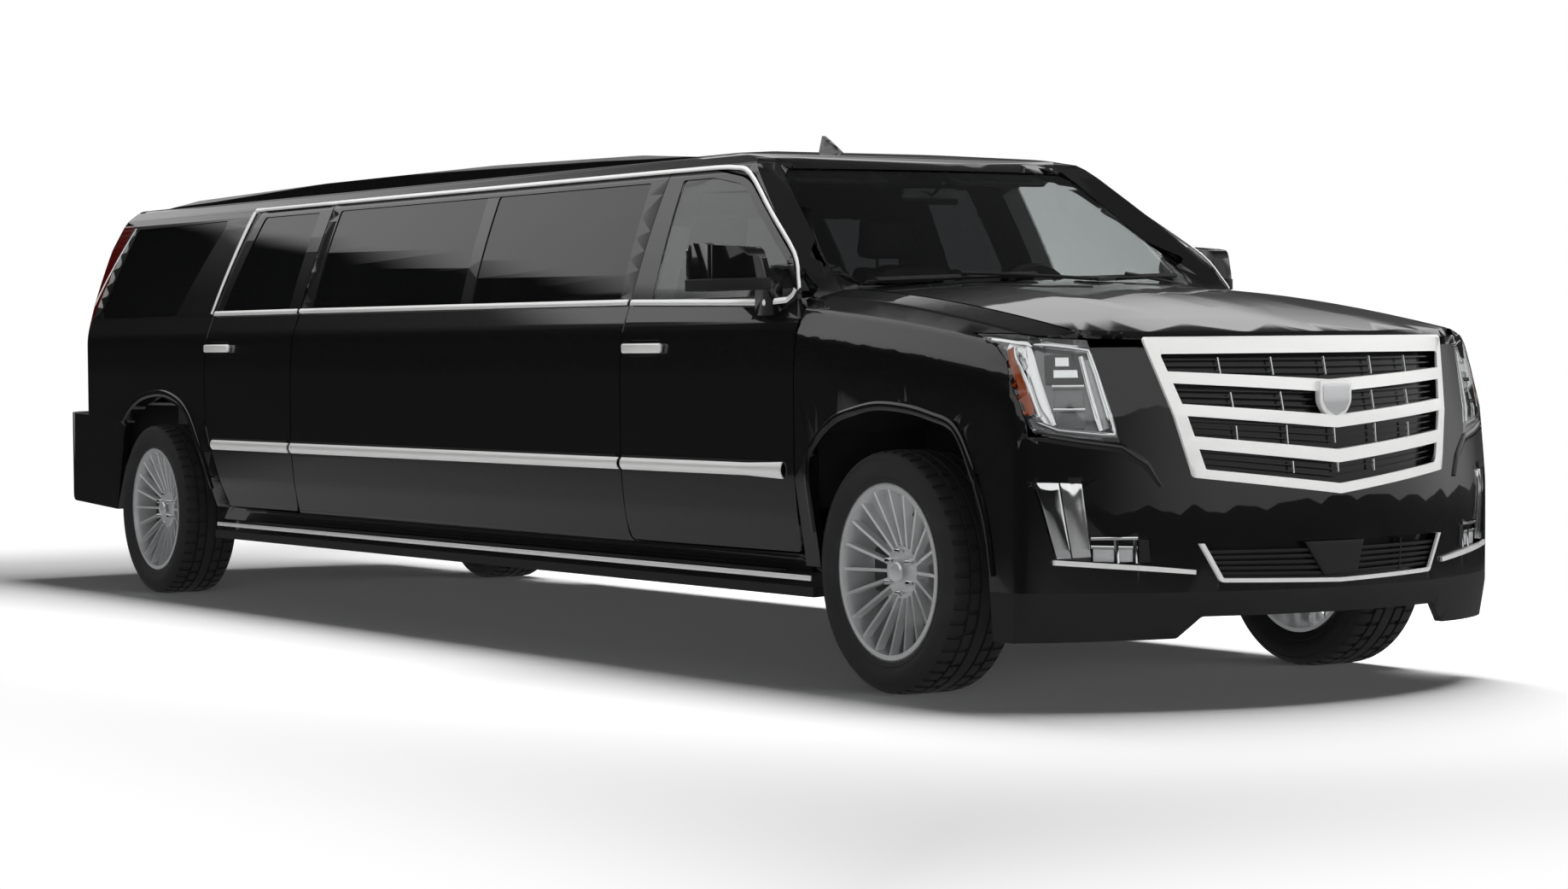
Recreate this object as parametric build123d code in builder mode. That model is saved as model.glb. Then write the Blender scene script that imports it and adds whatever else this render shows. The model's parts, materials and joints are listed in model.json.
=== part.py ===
from build123d import *
from math import atan2, cos, sin, sqrt
import os

# Stretch limousine on a long sport-utility body. Millimetres, +X forward, +Y left, +Z up,
# origin on the ground under the middle of the overall length.

# ---------------------------------------------------------------- driving dimensions
WHEELBASE = 6350.0
FRONT_OVERHANG = 1120.0
REAR_OVERHANG = 1310.0
HALF_WIDTH = 1000.0          # body half width at the doors
TRACK = 1745.0
TYRE_RADIUS = 405.0
TYRE_WIDTH = 285.0
RIM_RADIUS = 284.0           # bead seat
RIM_WIDTH = 240.0

SILL_Z = 376.0               # underside of the rocker
BELT_Z = 1320.0              # foot of the side windows
SEAM_Z = 1822.0              # joint of body side and roof panel
ROOF_Z = 1902.0              # crown of the roof
WALL = 75.0                  # body wall, panel to trim
FENDER_SKIN = 30.0           # depth of fender, hood and bumper skins
DOOR_SKIN = 15.0             # outer layer of a door, full outline
DOOR_DEPTH = 90.0            # whole door
SEAL_GAP = 6.0               # behind the door's outer layer
SHUT_GAP = 8.0               # round doors, hood and tailgate
REBATE = 25.0                # how far a door's inner layer stands inside its outline
FIT = 0.3                    # clearance round glass and bolted-on trim
GLASS = 5.0
GLASS_DEPTH = 4.0            # glass behind the panel face
RUN_FIT = 0.05               # radial clearance of a pin in its eye

WINDOW_TOP_Z = 1780.0
DOOR_FOOT_Z = 446.0
SILL_WIDTH = 220.0           # rocker box, measured inwards

LENGTH = FRONT_OVERHANG + WHEELBASE + REAR_OVERHANG
FRONT_AXLE = LENGTH / 2 - FRONT_OVERHANG
REAR_AXLE = FRONT_AXLE - WHEELBASE
AXLE_Z = TYRE_RADIUS
WHEEL_Y = TRACK / 2
SIDES = (("left", 1), ("right", -1))

os.makedirs("parts", exist_ok=True)


# ---------------------------------------------------------------- outline helpers
def grow(rows, amount):
    """Move a closed outline's edges out by an amount; rows are (u, v, corner radius)."""
    area = sum(a[0] * b[1] - b[0] * a[1] for a, b in zip(rows, rows[1:] + rows[:1]))
    turn = 1 if area > 0 else -1
    moved = []
    for i, (u, v, radius) in enumerate(rows):
        before, after = rows[i - 1], rows[(i + 1) % len(rows)]
        a = atan2(v - before[1], u - before[0])
        b = atan2(after[1] - v, after[0] - u)
        bend = atan2(sin(b - a), cos(b - a)) * turn
        middle = a + bend * turn / 2
        reach = amount / cos(bend / 2)
        corner = max(radius + amount * (1 if bend > 0 else -1), 0.0) if radius else 0.0
        moved.append((u + turn * reach * sin(middle), v - turn * reach * cos(middle), corner))
    return moved


def mirrored(rows):
    """The right half of a section, closed by its mirror image in u."""
    return rows + [(-u, v, radius) for u, v, radius in reversed(rows)]


def prism(plane, rows, length):
    """Solid with a closed outline of (u, v, corner radius) rows, along a plane's normal."""
    with BuildPart() as solid:
        with BuildSketch(plane):
            with BuildLine():
                FilletPolyline([(u, v) for u, v, _ in rows], radius=[r for _, _, r in rows],
                               close=True)
            make_face()
        extrude(amount=length)
    return solid.part


def side_prism(rows, near, far):
    """Solid with a side-view outline of (x, z, radius) rows between two y planes."""
    return prism(Plane.XZ.offset(-far), rows, far - near)


def front_prism(rows, back, front):
    """Solid with a front-view outline of (y, z, radius) rows between two x planes."""
    return prism(Plane.YZ.offset(back), rows, front - back)


def block(x_low, x_high, y_low, y_high, z_low, z_high):
    """Plain block between two corners."""
    with BuildPart() as solid:
        with Locations(((x_low + x_high) / 2, (y_low + y_high) / 2, (z_low + z_high) / 2)):
            Box(x_high - x_low, y_high - y_low, z_high - z_low)
    return solid.part


def rod(axis_plane, radius, length):
    """Round bar that starts on a plane and follows its normal."""
    with BuildPart() as bar:
        with BuildSketch(axis_plane):
            Circle(radius)
        extrude(amount=length)
    return bar.part


def front(*rows):
    """Rows whose first column is measured forward of the front axle."""
    return [(FRONT_AXLE + row[0], *row[1:]) for row in rows]


def rear(*rows):
    """Rows whose first column is measured forward of the rear axle."""
    return [(REAR_AXLE + row[0], *row[1:]) for row in rows]


# ---------------------------------------------------------------- body surfaces
# Cabin section: tuck in from the half width, height, corner radius.
CABIN_SECTION = (
    (70, SILL_Z, 10), (38, DOOR_FOOT_Z, 60), (15, 560, 400), (0, 720, 600), (0, 1060, 900),
    (12, 1215, 250), (52, BELT_Z, 40), (132, 1552, 3800), (240, WINDOW_TOP_Z + 5, 30),
    (262, SEAM_Z - 4, 30),
    (325, ROOF_Z - 34, 80), (640, ROOF_Z - 9, 2000), (820, ROOF_Z, 2000),
)
COWL_X = FRONT_AXLE - 340.0
TAIL_SAG = 150.0             # plan bow of the tail across the body
TAIL_X = REAR_AXLE - 1070.0
TAIL_CORNER = 130.0
TAIL_LEAN = 140.0            # how far the tailgate leans in from the belt to the roof
# Roof line from the tail to the windscreen: forward of the front axle, height, corner radius.
ROOF_LINE = ((-2300, 1912, 2500), (-1750, 1897, 2000), (-1400, 1862, 1500), (-900, 1782, 0))

# Windscreen arcs: height, centre x and edge x from the front axle, tuck of the edge.
SCREEN_LOW = (1000.0, 198.0, -74.0, 82.0)
SCREEN_HIGH = (1950.0, -1397.0, -1420.0, 413.0)
SCREEN_SLOPE = sin(atan2(SCREEN_HIGH[0] - SCREEN_LOW[0], SCREEN_LOW[1] - SCREEN_HIGH[1]))
PILLAR_SWEEP = 0.2           # how fast the windscreen pillars run forward outside the glass


def ahead_of_screen(depth):
    """Solid in front of the windscreen surface, moved in by a depth."""
    back = depth / SCREEN_SLOPE
    with BuildPart() as tool:
        for height, centre, edge, tuck in (SCREEN_LOW, SCREEN_HIGH):
            half, wide = HALF_WIDTH - tuck, HALF_WIDTH + 400
            edge_x = FRONT_AXLE + edge - back
            wide_x = edge_x + PILLAR_SWEEP * (wide - half)
            with BuildSketch(Plane.XY.offset(height)):
                with BuildLine():
                    ThreePointArc((edge_x, half), (FRONT_AXLE + centre - back, 0),
                                  (edge_x, -half))
                    Polyline((edge_x, -half), (wide_x, -wide), (LENGTH, -wide), (LENGTH, wide),
                             (wide_x, wide), (edge_x, half))
                make_face()
        loft(ruled=True)
    return tool.part


def cabin_bar(depth):
    """Cabin section run straight from tail to cowl, moved in by a depth."""
    section = [(HALF_WIDTH - tuck, z, r) for tuck, z, r in CABIN_SECTION]
    return front_prism(grow(mirrored(section), -depth), TAIL_X - 10, COWL_X)


def cabin_hull(depth):
    """Closed cabin volume whose skin stands in from the body face by a depth."""
    half = HALF_WIDTH - depth
    corner_x = TAIL_X + TAIL_SAG + depth
    with BuildPart() as hull:
        add(cabin_bar(depth))
        with BuildSketch(Plane.XY) as plan:
            with BuildLine():
                ThreePointArc((corner_x, half), (TAIL_X + depth, 0), (corner_x, -half))
                Polyline((corner_x, -half), (COWL_X, -half), (COWL_X, half), (corner_x, half))
            make_face()
            fillet(plan.vertices().group_by(Axis.X)[0], radius=max(TAIL_CORNER - depth, 5))
        extrude(amount=ROOF_Z + 50, mode=Mode.INTERSECT)
        top_x = TAIL_X + TAIL_LEAN * (ROOF_Z + 50 - BELT_Z) / (SEAM_Z - BELT_Z) + depth
        roof_line = [(x, z - depth, r) for x, z, r in reversed(front(*ROOF_LINE))]
        side = [(TAIL_X - 20 + depth, SILL_Z - 50, 0), (COWL_X + 10, SILL_Z - 50, 0),
                (COWL_X + 10, roof_line[0][1], 0), *roof_line, (top_x, ROOF_Z + 50 - depth, 0),
                (TAIL_X + depth, BELT_Z, 0), (TAIL_X - 20 + depth, BELT_Z - 60, 0)]
        add(side_prism(side, -HALF_WIDTH - 50, HALF_WIDTH + 50), mode=Mode.INTERSECT)
        add(ahead_of_screen(depth), mode=Mode.SUBTRACT)
    return hull.part


# Front section: forward of the front axle, hood crown z, hood edge z, fender crest (tuck, z),
# crease (tuck, z), shoulder (tuck, z), side top (tuck, z), side tuck, heel tuck.
HOOD_HALF = 778.0
FRONT_SECTIONS = (
    (-640, 1387, 1354, (115, 1328), (45, 1285), (10, 1190), (0, 1060), 0, 38),
    (100, 1334, 1296, (115, 1268), (50, 1217), (13, 1130), (0, 1035), 0, 38),
    (600, 1261, 1223, (122, 1192), (62, 1148), (30, 1070), (15, 990), 15, 48),
    (1180, 1152, 1114, (150, 1084), (95, 1042), (62, 975), (48, 900), 48, 80),
)
CREST_R = 45.0
CREASE_R = 55.0
SHOULDER_R = 160.0


def front_hull(depth):
    """Closed volume of hood and fenders, its skin moved in by a depth."""
    with BuildPart() as hull:
        for x, crown, edge, crest, crease, shoulder, side, flank, heel in FRONT_SECTIONS:
            rows = [
                (HALF_WIDTH - heel - 25, SILL_Z - 150, 0), (HALF_WIDTH - heel, DOOR_FOOT_Z, 0),
                (HALF_WIDTH - flank, 700, 0), (HALF_WIDTH - side[0], side[1], 0),
                (HALF_WIDTH - shoulder[0], shoulder[1], SHOULDER_R),
                (HALF_WIDTH - crease[0], crease[1], CREASE_R),
                (HALF_WIDTH - crest[0], crest[1], CREST_R),
                (HOOD_HALF, edge, 0), (HOOD_HALF / 2, crown - 8, 0), (80, crown, 0),
            ]
            inset = grow(mirrored(rows), -depth)
            with BuildSketch(Plane.YZ.offset(FRONT_AXLE + x)):
                with BuildLine():
                    FilletPolyline([(y, z) for y, z, _ in inset],
                                   radius=[r for _, _, r in inset], close=True)
                make_face()
        loft(ruled=False)
    return hull.part


CHROME_PROUD = 10.0          # grille frame and blades stand out from the nose
# Nose profile on the centre line: forward of the front axle, height.
NOSE_PROFILE = ((1075, 180), (1104, 340), (1110, 660), (1086, 926), (1032, 1165),
                (985, 1240), (890, 1450))
NOSE_RADIUS = 1460.0         # plan radius of the nose
NOSE_PIVOT_X = FRONT_AXLE + FRONT_OVERHANG - CHROME_PROUD - NOSE_RADIUS
BUMPER_HALF = 978.0
BUMPER_BACK_HALF = 990.0
BUMPER_CORNER = 110.0


def nose_turned(depth):
    """Body of revolution under the nose surface, its skin moved in by a depth."""
    with BuildPart() as turned:
        with BuildSketch(Plane.XZ):
            with BuildLine():
                points = [(FRONT_AXLE + x - depth, z) for x, z in NOSE_PROFILE]
                Polyline((NOSE_PIVOT_X, NOSE_PROFILE[0][1]), *points,
                         (NOSE_PIVOT_X, NOSE_PROFILE[-1][1]), close=True)
            make_face()
        revolve(axis=Axis((NOSE_PIVOT_X, 0, 0), (0, 0, 1)))
    return turned.part


def nose_hull(depth):
    """Nose volume with its sides and rounded corners, its skin moved in by a depth."""
    with BuildPart() as hull:
        add(nose_turned(depth))
        half, back_half = BUMPER_HALF - depth, BUMPER_BACK_HALF - depth
        reach = NOSE_RADIUS - depth
        corner_x = NOSE_PIVOT_X + sqrt(reach ** 2 - half ** 2)
        back_x = FRONT_AXLE + 300
        with BuildSketch(Plane.XY) as plan:
            with BuildLine():
                ThreePointArc((corner_x, half), (NOSE_PIVOT_X + reach, 0), (corner_x, -half))
                Polyline((corner_x, -half), (back_x, -back_half), (back_x, back_half),
                         (corner_x, half))
            make_face()
            corners = plan.vertices().filter_by(lambda v: abs(v.X - corner_x) < 1)
            fillet(corners, radius=max(BUMPER_CORNER - depth, 5))
        extrude(amount=ROOF_Z, mode=Mode.INTERSECT)
    return hull.part


print("surfaces")
cabin_outer = cabin_hull(0)
cabin_inner = cabin_hull(WALL)
door_skin = cabin_bar(DOOR_SKIN)
door_seal = cabin_bar(DOOR_SKIN + SEAL_GAP)
door_back = cabin_bar(DOOR_DEPTH)
glass_outer = cabin_bar(GLASS_DEPTH)
glass_inner = cabin_bar(GLASS_DEPTH + GLASS)
front_outer = front_hull(0)
front_inner = front_hull(FENDER_SKIN)
nose_outer = nose_hull(0)
nose_inner = nose_hull(FENDER_SKIN)

# ---------------------------------------------------------------- side outlines (x, z, radius)
FRONT_DOOR = front((-563, DOOR_FOOT_Z, 40), (-563, 1240, 30), (-622, 1345, 30),
                   (-718, 1462, 150), (-1212, 1762, 350), (-1480, WINDOW_TOP_Z + 22, 300),
                   (-1805, WINDOW_TOP_Z + 22, 0), (-1770, 1250, 0), (-1770, DOOR_FOOT_Z, 40))
FRONT_WINDOW = front((-655, BELT_Z + 10, 20), (-655, 1360, 20), (-745, 1445, 120),
                     (-1235, 1742, 300), (-1470, WINDOW_TOP_Z - 5, 250),
                     (-1688, WINDOW_TOP_Z - 5, 12), (-1622, BELT_Z + 10, 12))
REAR_DOOR = rear((1600, DOOR_FOOT_Z, 40), (1600, 1250, 0), (1555, WINDOW_TOP_Z + 22, 0),
                 (745, WINDOW_TOP_Z + 22, 60), (640, 1330, 30), (640, 830, 90),
                 (830, DOOR_FOOT_Z, 60))
REAR_DOOR_WINDOW = rear((1474, BELT_Z + 10, 12), (1431, WINDOW_TOP_Z - 5, 12),
                        (830, WINDOW_TOP_Z - 5, 25), (725, BELT_Z + 10, 12))
FRONT_PANE = (front((-1863, BELT_Z + 10, 12), (-1930, WINDOW_TOP_Z - 5, 12))
              + front((-3172, WINDOW_TOP_Z - 5, 12), (-3098, BELT_Z + 10, 12)))
MIDDLE_PANE = (front((-3188, BELT_Z + 10, 12), (-3272, WINDOW_TOP_Z - 5, 12))
               + rear((1656, WINDOW_TOP_Z - 5, 12), (1708, BELT_Z + 10, 12)))
QUARTER_PANE = rear((170, BELT_Z + 8, 40), (415, WINDOW_TOP_Z - 5, 25),
                    (-720, WINDOW_TOP_Z - 12, 25), (-800, BELT_Z + 8, 25))
FIXED_PANES = (FRONT_PANE, MIDDLE_PANE, QUARTER_PANE)
FRONT_ARCH = front((-463, 60, 0), (-463, 832, 120), (-250, 935, 200), (130, 948, 300),
                   (405, 885, 90), (560, 500, 200), (600, 60, 0))
REAR_ARCH = rear((-600, 60, 0), (-395, 800, 110), (-250, 905, 120), (60, 955, 300),
                 (385, 885, 120), (640, 560, 200), (800, 60, 0))
WIDE = HALF_WIDTH + 60
SIDE_NEAR = HALF_WIDTH - 400    # inside every side window and door


def door_layers(outline):
    """Door solid of the left side: full outer layer and the inner layer inside the rebate."""
    with BuildPart() as inner:
        add(side_prism(grow(outline, -REBATE), SIDE_NEAR, WIDE))
        add(door_skin, mode=Mode.INTERSECT)
        add(door_back, mode=Mode.SUBTRACT)
    with BuildPart() as door:
        add(side_prism(outline, SIDE_NEAR, WIDE))
        add(cabin_outer, mode=Mode.INTERSECT)
        add(door_skin, mode=Mode.SUBTRACT)
        add(inner.part)
    return door.part


def door_opening(outline):
    """What a left door takes from the body side: its outer layer, the rebate, and the room
    that its leading edge sweeps behind the skin."""
    leading_x = leading_edge(outline)
    with BuildPart() as frame_room:
        add(side_prism(grow(outline, SHUT_GAP - SEAL_LAP), SIDE_NEAR, WIDE))
        add(block(TAIL_BACK, COWL_X, SIDE_NEAR, WIDE, BELT_Z, SEAM_Z), mode=Mode.INTERSECT)
    with BuildPart() as opening:
        add(side_prism(grow(outline, SHUT_GAP), SIDE_NEAR, WIDE))
        add(door_seal, mode=Mode.SUBTRACT)
        add(side_prism(grow(outline, SHUT_GAP - REBATE), SIDE_NEAR, WIDE))
        add(block(leading_x - SWEEP_X, leading_x + SHUT_GAP,
                  HALF_WIDTH - WALL - 20, WIDE, DOOR_FOOT_Z - SHUT_GAP, SWEEP_TOP_Z))
        add(block(leading_x - SWEEP_X, leading_x + SHUT_GAP,
                  SWEEP_Y, WIDE, SWEEP_TOP_Z - 20, SWEEP_TOP_Z + 100))
        add(frame_room.part)
    return opening.part


# Door hinges: the pin stands behind the door's leading edge, just inside the skin.
HINGE_SETBACK = 55.0
HINGE_INSET = 16.0
HINGE_PIN_R = 5.0
HINGE_EYE_R = 10.0
# Room behind the skin for the leading edge, which swings inwards ahead of its pins.
SWEEP_X = HINGE_SETBACK + 30
SEAL_LAP = 5.0               # what the pillar laps the window frame, which swings back
SWEEP_Y = HALF_WIDTH - 105
SWEEP_TOP_Z = BELT_Z + 15
HINGE_EYE_H = 36.0
HINGE_POCKET_H = 56.0
HINGE_LEG_Y = HALF_WIDTH - 118.0
HINGE_HEIGHTS = (770.0, 1010.0)
HINGE_Y = HALF_WIDTH - HINGE_INSET


def hinge_eyes(leading_x):
    """Fixed half of a left door's hinges, with the pillar block that carries it."""
    pin_x = leading_x - HINGE_SETBACK
    with BuildPart() as eyes:
        add(block(leading_x + SHUT_GAP, leading_x + 70, HINGE_LEG_Y - 12, HALF_WIDTH - WALL + 5,
                  HINGE_HEIGHTS[0] - 60, HINGE_HEIGHTS[1] + 60))
        for z in HINGE_HEIGHTS:
            low, high = z - HINGE_EYE_H / 2, z + HINGE_EYE_H / 2
            add(block(pin_x - 13, leading_x + SHUT_GAP, HINGE_LEG_Y - 8, HINGE_LEG_Y + 8,
                      low, high))
            add(block(pin_x - 13, pin_x + 3, HINGE_LEG_Y, HINGE_Y, low, high))
            add(rod(Plane((pin_x, HINGE_Y, low)), HINGE_EYE_R, HINGE_EYE_H))
            add(rod(Plane((pin_x, HINGE_Y, low)), HINGE_PIN_R + RUN_FIT, HINGE_EYE_H),
                mode=Mode.SUBTRACT)
    return eyes.part


def hinge_pockets(leading_x):
    """What is cut from a left door round its hinges."""
    pin_x = leading_x - HINGE_SETBACK
    with BuildPart() as pockets:
        for z in HINGE_HEIGHTS:
            add(block(pin_x - 34, leading_x + 5, HALF_WIDTH - DOOR_DEPTH - 40, HALF_WIDTH - 3.5,
                      z - HINGE_POCKET_H / 2, z + HINGE_POCKET_H / 2))
    return pockets.part


def hinge_pins(leading_x):
    """Pins of a left door, held above and below each pocket."""
    with BuildPart() as pins:
        for z in HINGE_HEIGHTS:
            base = Plane((leading_x - HINGE_SETBACK, HINGE_Y, z - HINGE_POCKET_H / 2 - 4))
            add(rod(base, HINGE_PIN_R, HINGE_POCKET_H + 8))
    return pins.part


DOORS = (("front", FRONT_DOOR, FRONT_WINDOW), ("rear", REAR_DOOR, REAR_DOOR_WINDOW))


def leading_edge(outline):
    """Foremost x of a door outline."""
    return max(row[0] for row in outline)


# ---------------------------------------------------------------- tailgate opening (y, z, radius)
TAILGATE = mirrored([(HALF_WIDTH - 160, 876, 40), (HALF_WIDTH - 140, 1180, 200),
                     (HALF_WIDTH - 310, SEAM_Z - 22, 0), (HALF_WIDTH - 310, ROOF_Z + 60, 0)])
TAILGATE_HINGE_X = REAR_AXLE - 850
TAILGATE_HINGE_Z = ROOF_Z - 4
TAILGATE_PIN_Y = 140.0
GATE_LINE = 12.0             # roof edge ahead of the tailgate's hinge axis
GATE_EYE_R = 8.0
GATE_SKIN = 18.0             # outer layer of the tailgate, full outline
GATE_STEP = 10.0             # how far its inner layer stands inside that
TAILGATE_WINDOW = mirrored([(HALF_WIDTH - 250, BELT_Z + 20, 60),
                            (HALF_WIDTH - 370, WINDOW_TOP_Z - 55, 60)])
TAIL_BACK = TAIL_X - 200
TAIL_SPAN = REAR_AXLE - 700
SCREEN = mirrored([(HALF_WIDTH - 205, 1362, 60), (HALF_WIDTH - 362, 1800, 70)])
SCREEN_BACK = FRONT_AXLE - 1700

# ---------------------------------------------------------------- body sides
TAIL_LAMP = rear((-1200, 893, 0), (-895, 893, 20), (-905, 1320, 0), (-800, SEAM_Z - 30, 0),
                 (-1200, SEAM_Z - 30, 0))
LAMP_DEPTH = 40.0


def lamp_strip(gap):
    """Space of the left tail lamp in the rear pillar, larger all round by a gap."""
    with BuildPart() as strip:
        add(side_prism(grow(TAIL_LAMP, gap), SIDE_NEAR, WIDE))
        add(cabin_hull(LAMP_DEPTH + gap), mode=Mode.SUBTRACT)
        add(front_prism(grow(TAILGATE, 12 - gap), TAIL_BACK, TAIL_SPAN), mode=Mode.SUBTRACT)
    return strip.part


def tailgate_zone(gap):
    """Space of the tailgate, smaller all round by a gap."""
    with BuildPart() as zone:
        add(front_prism(grow(TAILGATE, -gap), TAIL_BACK, TAIL_SPAN))
        add(block(TAILGATE_HINGE_X + GATE_LINE - 2 * gap, TAIL_SPAN, -WIDE, WIDE, SEAM_Z - 60,
                  ROOF_Z + 70), mode=Mode.SUBTRACT)
    return zone.part


print("body sides")
FENDER_LINE = leading_edge(FRONT_DOOR) + SHUT_GAP
COWL_SIDE_X = FENDER_LINE + 60
with BuildPart() as body_shell:
    add(cabin_outer)
    add(cabin_inner, mode=Mode.SUBTRACT)
    add(tailgate_zone(0), mode=Mode.SUBTRACT)
    add(front_prism(SCREEN, SCREEN_BACK, COWL_X + 5), mode=Mode.SUBTRACT)

BUMPER_TOP_Z = 868.0
REAR_BUMPER_CUT = rear((-1400, 100, 0), (-1400, BUMPER_TOP_Z + FIT, 0),
                       (-330, BUMPER_TOP_Z - 44 + FIT, 0), (-330, 100, 0))
with BuildPart() as side_zone:
    add(block(TAIL_BACK, COWL_SIDE_X, HALF_WIDTH - SILL_WIDTH, WIDE, 0, BELT_Z - 40))
    add(block(TAIL_BACK, FENDER_LINE, HALF_WIDTH - 480, WIDE, BELT_Z - 40, SEAM_Z))
with BuildPart() as fender_room:
    add(block(FENDER_LINE, COWL_X + 50, SIDE_NEAR, WIDE, 0, BELT_Z + 30))
    add(front_hull(FENDER_SKIN + FIT), mode=Mode.SUBTRACT)
    add(block(FENDER_LINE - 16, FENDER_LINE, HALF_WIDTH - 500, HOOD_HALF, BELT_Z - 80,
              BELT_Z + 80))
for side, sign in SIDES:
    with BuildPart() as body_side:
        add(body_shell.part)
        add(side_zone.part, mode=Mode.INTERSECT)
        add(fender_room.part, mode=Mode.SUBTRACT)
        for name, outline, window in DOORS:
            add(door_opening(outline), mode=Mode.SUBTRACT)
            add(hinge_eyes(leading_edge(outline)))
        for pane in FIXED_PANES:
            add(side_prism(pane, SIDE_NEAR, WIDE), mode=Mode.SUBTRACT)
        add(side_prism(REAR_ARCH, SIDE_NEAR, WIDE), mode=Mode.SUBTRACT)
        add(side_prism(REAR_BUMPER_CUT, HALF_WIDTH - 600, WIDE), mode=Mode.SUBTRACT)
        add(lamp_strip(FIT), mode=Mode.SUBTRACT)
        if sign < 0:
            mirror(about=Plane.XZ, mode=Mode.REPLACE)
    body_side.part.label = f"body_side_{side}"
    export_step(body_side.part, f"parts/body_side_{side}.step")

# ---------------------------------------------------------------- roof, rails and antenna
print("roof")
RAIL_Y = HALF_WIDTH - 345.0
RAIL_W = 42.0
# Roof rail seen from the side: forward of the front axle, height, corner radius.
RAIL = front((-7020, 1850, 0), (-1480, 1838, 0), (-1560, 1856, 60), (-2150, 1893, 900),
             (-3380, 1914, 1500), (-5040, 1912, 1500), (-6520, 1892, 900), (-6980, 1862, 60))
HEADER_X = FRONT_AXLE - 1560
HEADER_Z = WINDOW_TOP_Z - 10
HEADER_HALF = HALF_WIDTH - 480
FIN_X = FRONT_AXLE - 1870
with BuildPart() as roof_zone:
    add(block(TAIL_BACK, COWL_X, -WIDE, WIDE, SEAM_Z, ROOF_Z + 50))
    add(block(HEADER_X, COWL_X, -HEADER_HALF, HEADER_HALF, HEADER_Z, SEAM_Z))
with BuildPart() as roof_panel:
    add(body_shell.part)
    add(roof_zone.part, mode=Mode.INTERSECT)
    for sign in (1, -1):
        add(side_prism(RAIL, sign * RAIL_Y - RAIL_W / 2, sign * RAIL_Y + RAIL_W / 2))
    with BuildSketch(Plane.XZ.offset(-9)):
        with BuildLine():
            base = ROOF_Z - 12
            Line((FIN_X + 95, base), (FIN_X - 75, base))
            Line((FIN_X - 75, base), (FIN_X - 45, base + 80))
            ThreePointArc((FIN_X - 45, base + 80), (FIN_X + 18, base + 46), (FIN_X + 95, base))
        make_face()
    extrude(amount=18)
    for sign in (1, -1):
        y = sign * TAILGATE_PIN_Y
        add(block(TAILGATE_HINGE_X - 12, TAILGATE_HINGE_X + 40, y - 28, y + 28, ROOF_Z - 90,
                  ROOF_Z + 20), mode=Mode.SUBTRACT)
        add(block(TAILGATE_HINGE_X, TAILGATE_HINGE_X + 45, y - 8, y + 8, ROOF_Z - 30,
                  ROOF_Z - 3))
        add(rod(Plane((TAILGATE_HINGE_X, y + 8, TAILGATE_HINGE_Z), z_dir=(0, -1, 0)),
                GATE_EYE_R, 16))
        add(rod(Plane((TAILGATE_HINGE_X, y + 9, TAILGATE_HINGE_Z), z_dir=(0, -1, 0)),
                HINGE_PIN_R + RUN_FIT, 18), mode=Mode.SUBTRACT)
roof_panel.part.label = "roof_panel"
export_step(roof_panel.part, "parts/roof_panel.step")

# ---------------------------------------------------------------- doors and their glass
print("doors")
MIRROR = (  # forward of the front axle, height, corner radius
    (-690, 1352, 20), (-1060, 1352, 30), (-1085, 1440, 40), (-1050, 1522, 40), (-760, 1500, 60),
)
MIRROR_PLAN = ((-1100, HALF_WIDTH - 10, 0), (-1095, HALF_WIDTH + 118, 30),
               (-900, HALF_WIDTH + 128, 60), (-700, HALF_WIDTH + 40, 60),
               (-680, HALF_WIDTH - 10, 0))
with BuildPart() as mirror_case:
    add(side_prism(front(*MIRROR), HALF_WIDTH - 20, WIDE + 100))
    add(prism(Plane.XY.offset(BELT_Z), front(*MIRROR_PLAN), ROOF_Z - BELT_Z),
        mode=Mode.INTERSECT)
for name, outline, window in DOORS:
    leading_x = leading_edge(outline)
    layers = door_layers(outline)
    for side, sign in SIDES:
        with BuildPart() as door:
            add(layers)
            add(side_prism(window, SIDE_NEAR, WIDE), mode=Mode.SUBTRACT)
            add(hinge_pockets(leading_x), mode=Mode.SUBTRACT)
            add(hinge_pins(leading_x))
            if name == "front":
                add(block(FRONT_AXLE - 790, FRONT_AXLE - 700, HALF_WIDTH - 48,
                          HALF_WIDTH + 10, BELT_Z - 58, BELT_Z + 52))
                add(mirror_case.part)
            if sign < 0:
                mirror(about=Plane.XZ, mode=Mode.REPLACE)
        door.part.label = f"{name}_door_{side}"
        export_step(door.part, f"parts/{name}_door_{side}.step")
        with BuildPart() as door_glass:
            add(side_prism(grow(window, -FIT), SIDE_NEAR, WIDE))
            add(glass_outer, mode=Mode.INTERSECT)
            add(glass_inner, mode=Mode.SUBTRACT)
            if sign < 0:
                mirror(about=Plane.XZ, mode=Mode.REPLACE)
        door_glass.part.label = f"{name}_door_glass_{side}"
        export_step(door_glass.part, f"parts/{name}_door_glass_{side}.step")

# ---------------------------------------------------------------- fixed glass
print("glass")
with BuildPart() as side_windows:
    for pane in FIXED_PANES:
        add(side_prism(grow(pane, -FIT), SIDE_NEAR, WIDE))
    add(glass_outer, mode=Mode.INTERSECT)
    add(glass_inner, mode=Mode.SUBTRACT)
    mirror(about=Plane.XZ)
side_windows.part.label = "side_windows"
export_step(side_windows.part, "parts/side_windows.step")

with BuildPart() as windscreen:
    add(front_prism(grow(SCREEN, -FIT), SCREEN_BACK, COWL_X + 300))
    add(ahead_of_screen(GLASS_DEPTH), mode=Mode.SUBTRACT)
    add(ahead_of_screen(GLASS_DEPTH + GLASS), mode=Mode.INTERSECT)
windscreen.part.label = "windscreen"
export_step(windscreen.part, "parts/windscreen.step")

# ---------------------------------------------------------------- hood and fenders
print("front end")
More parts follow.
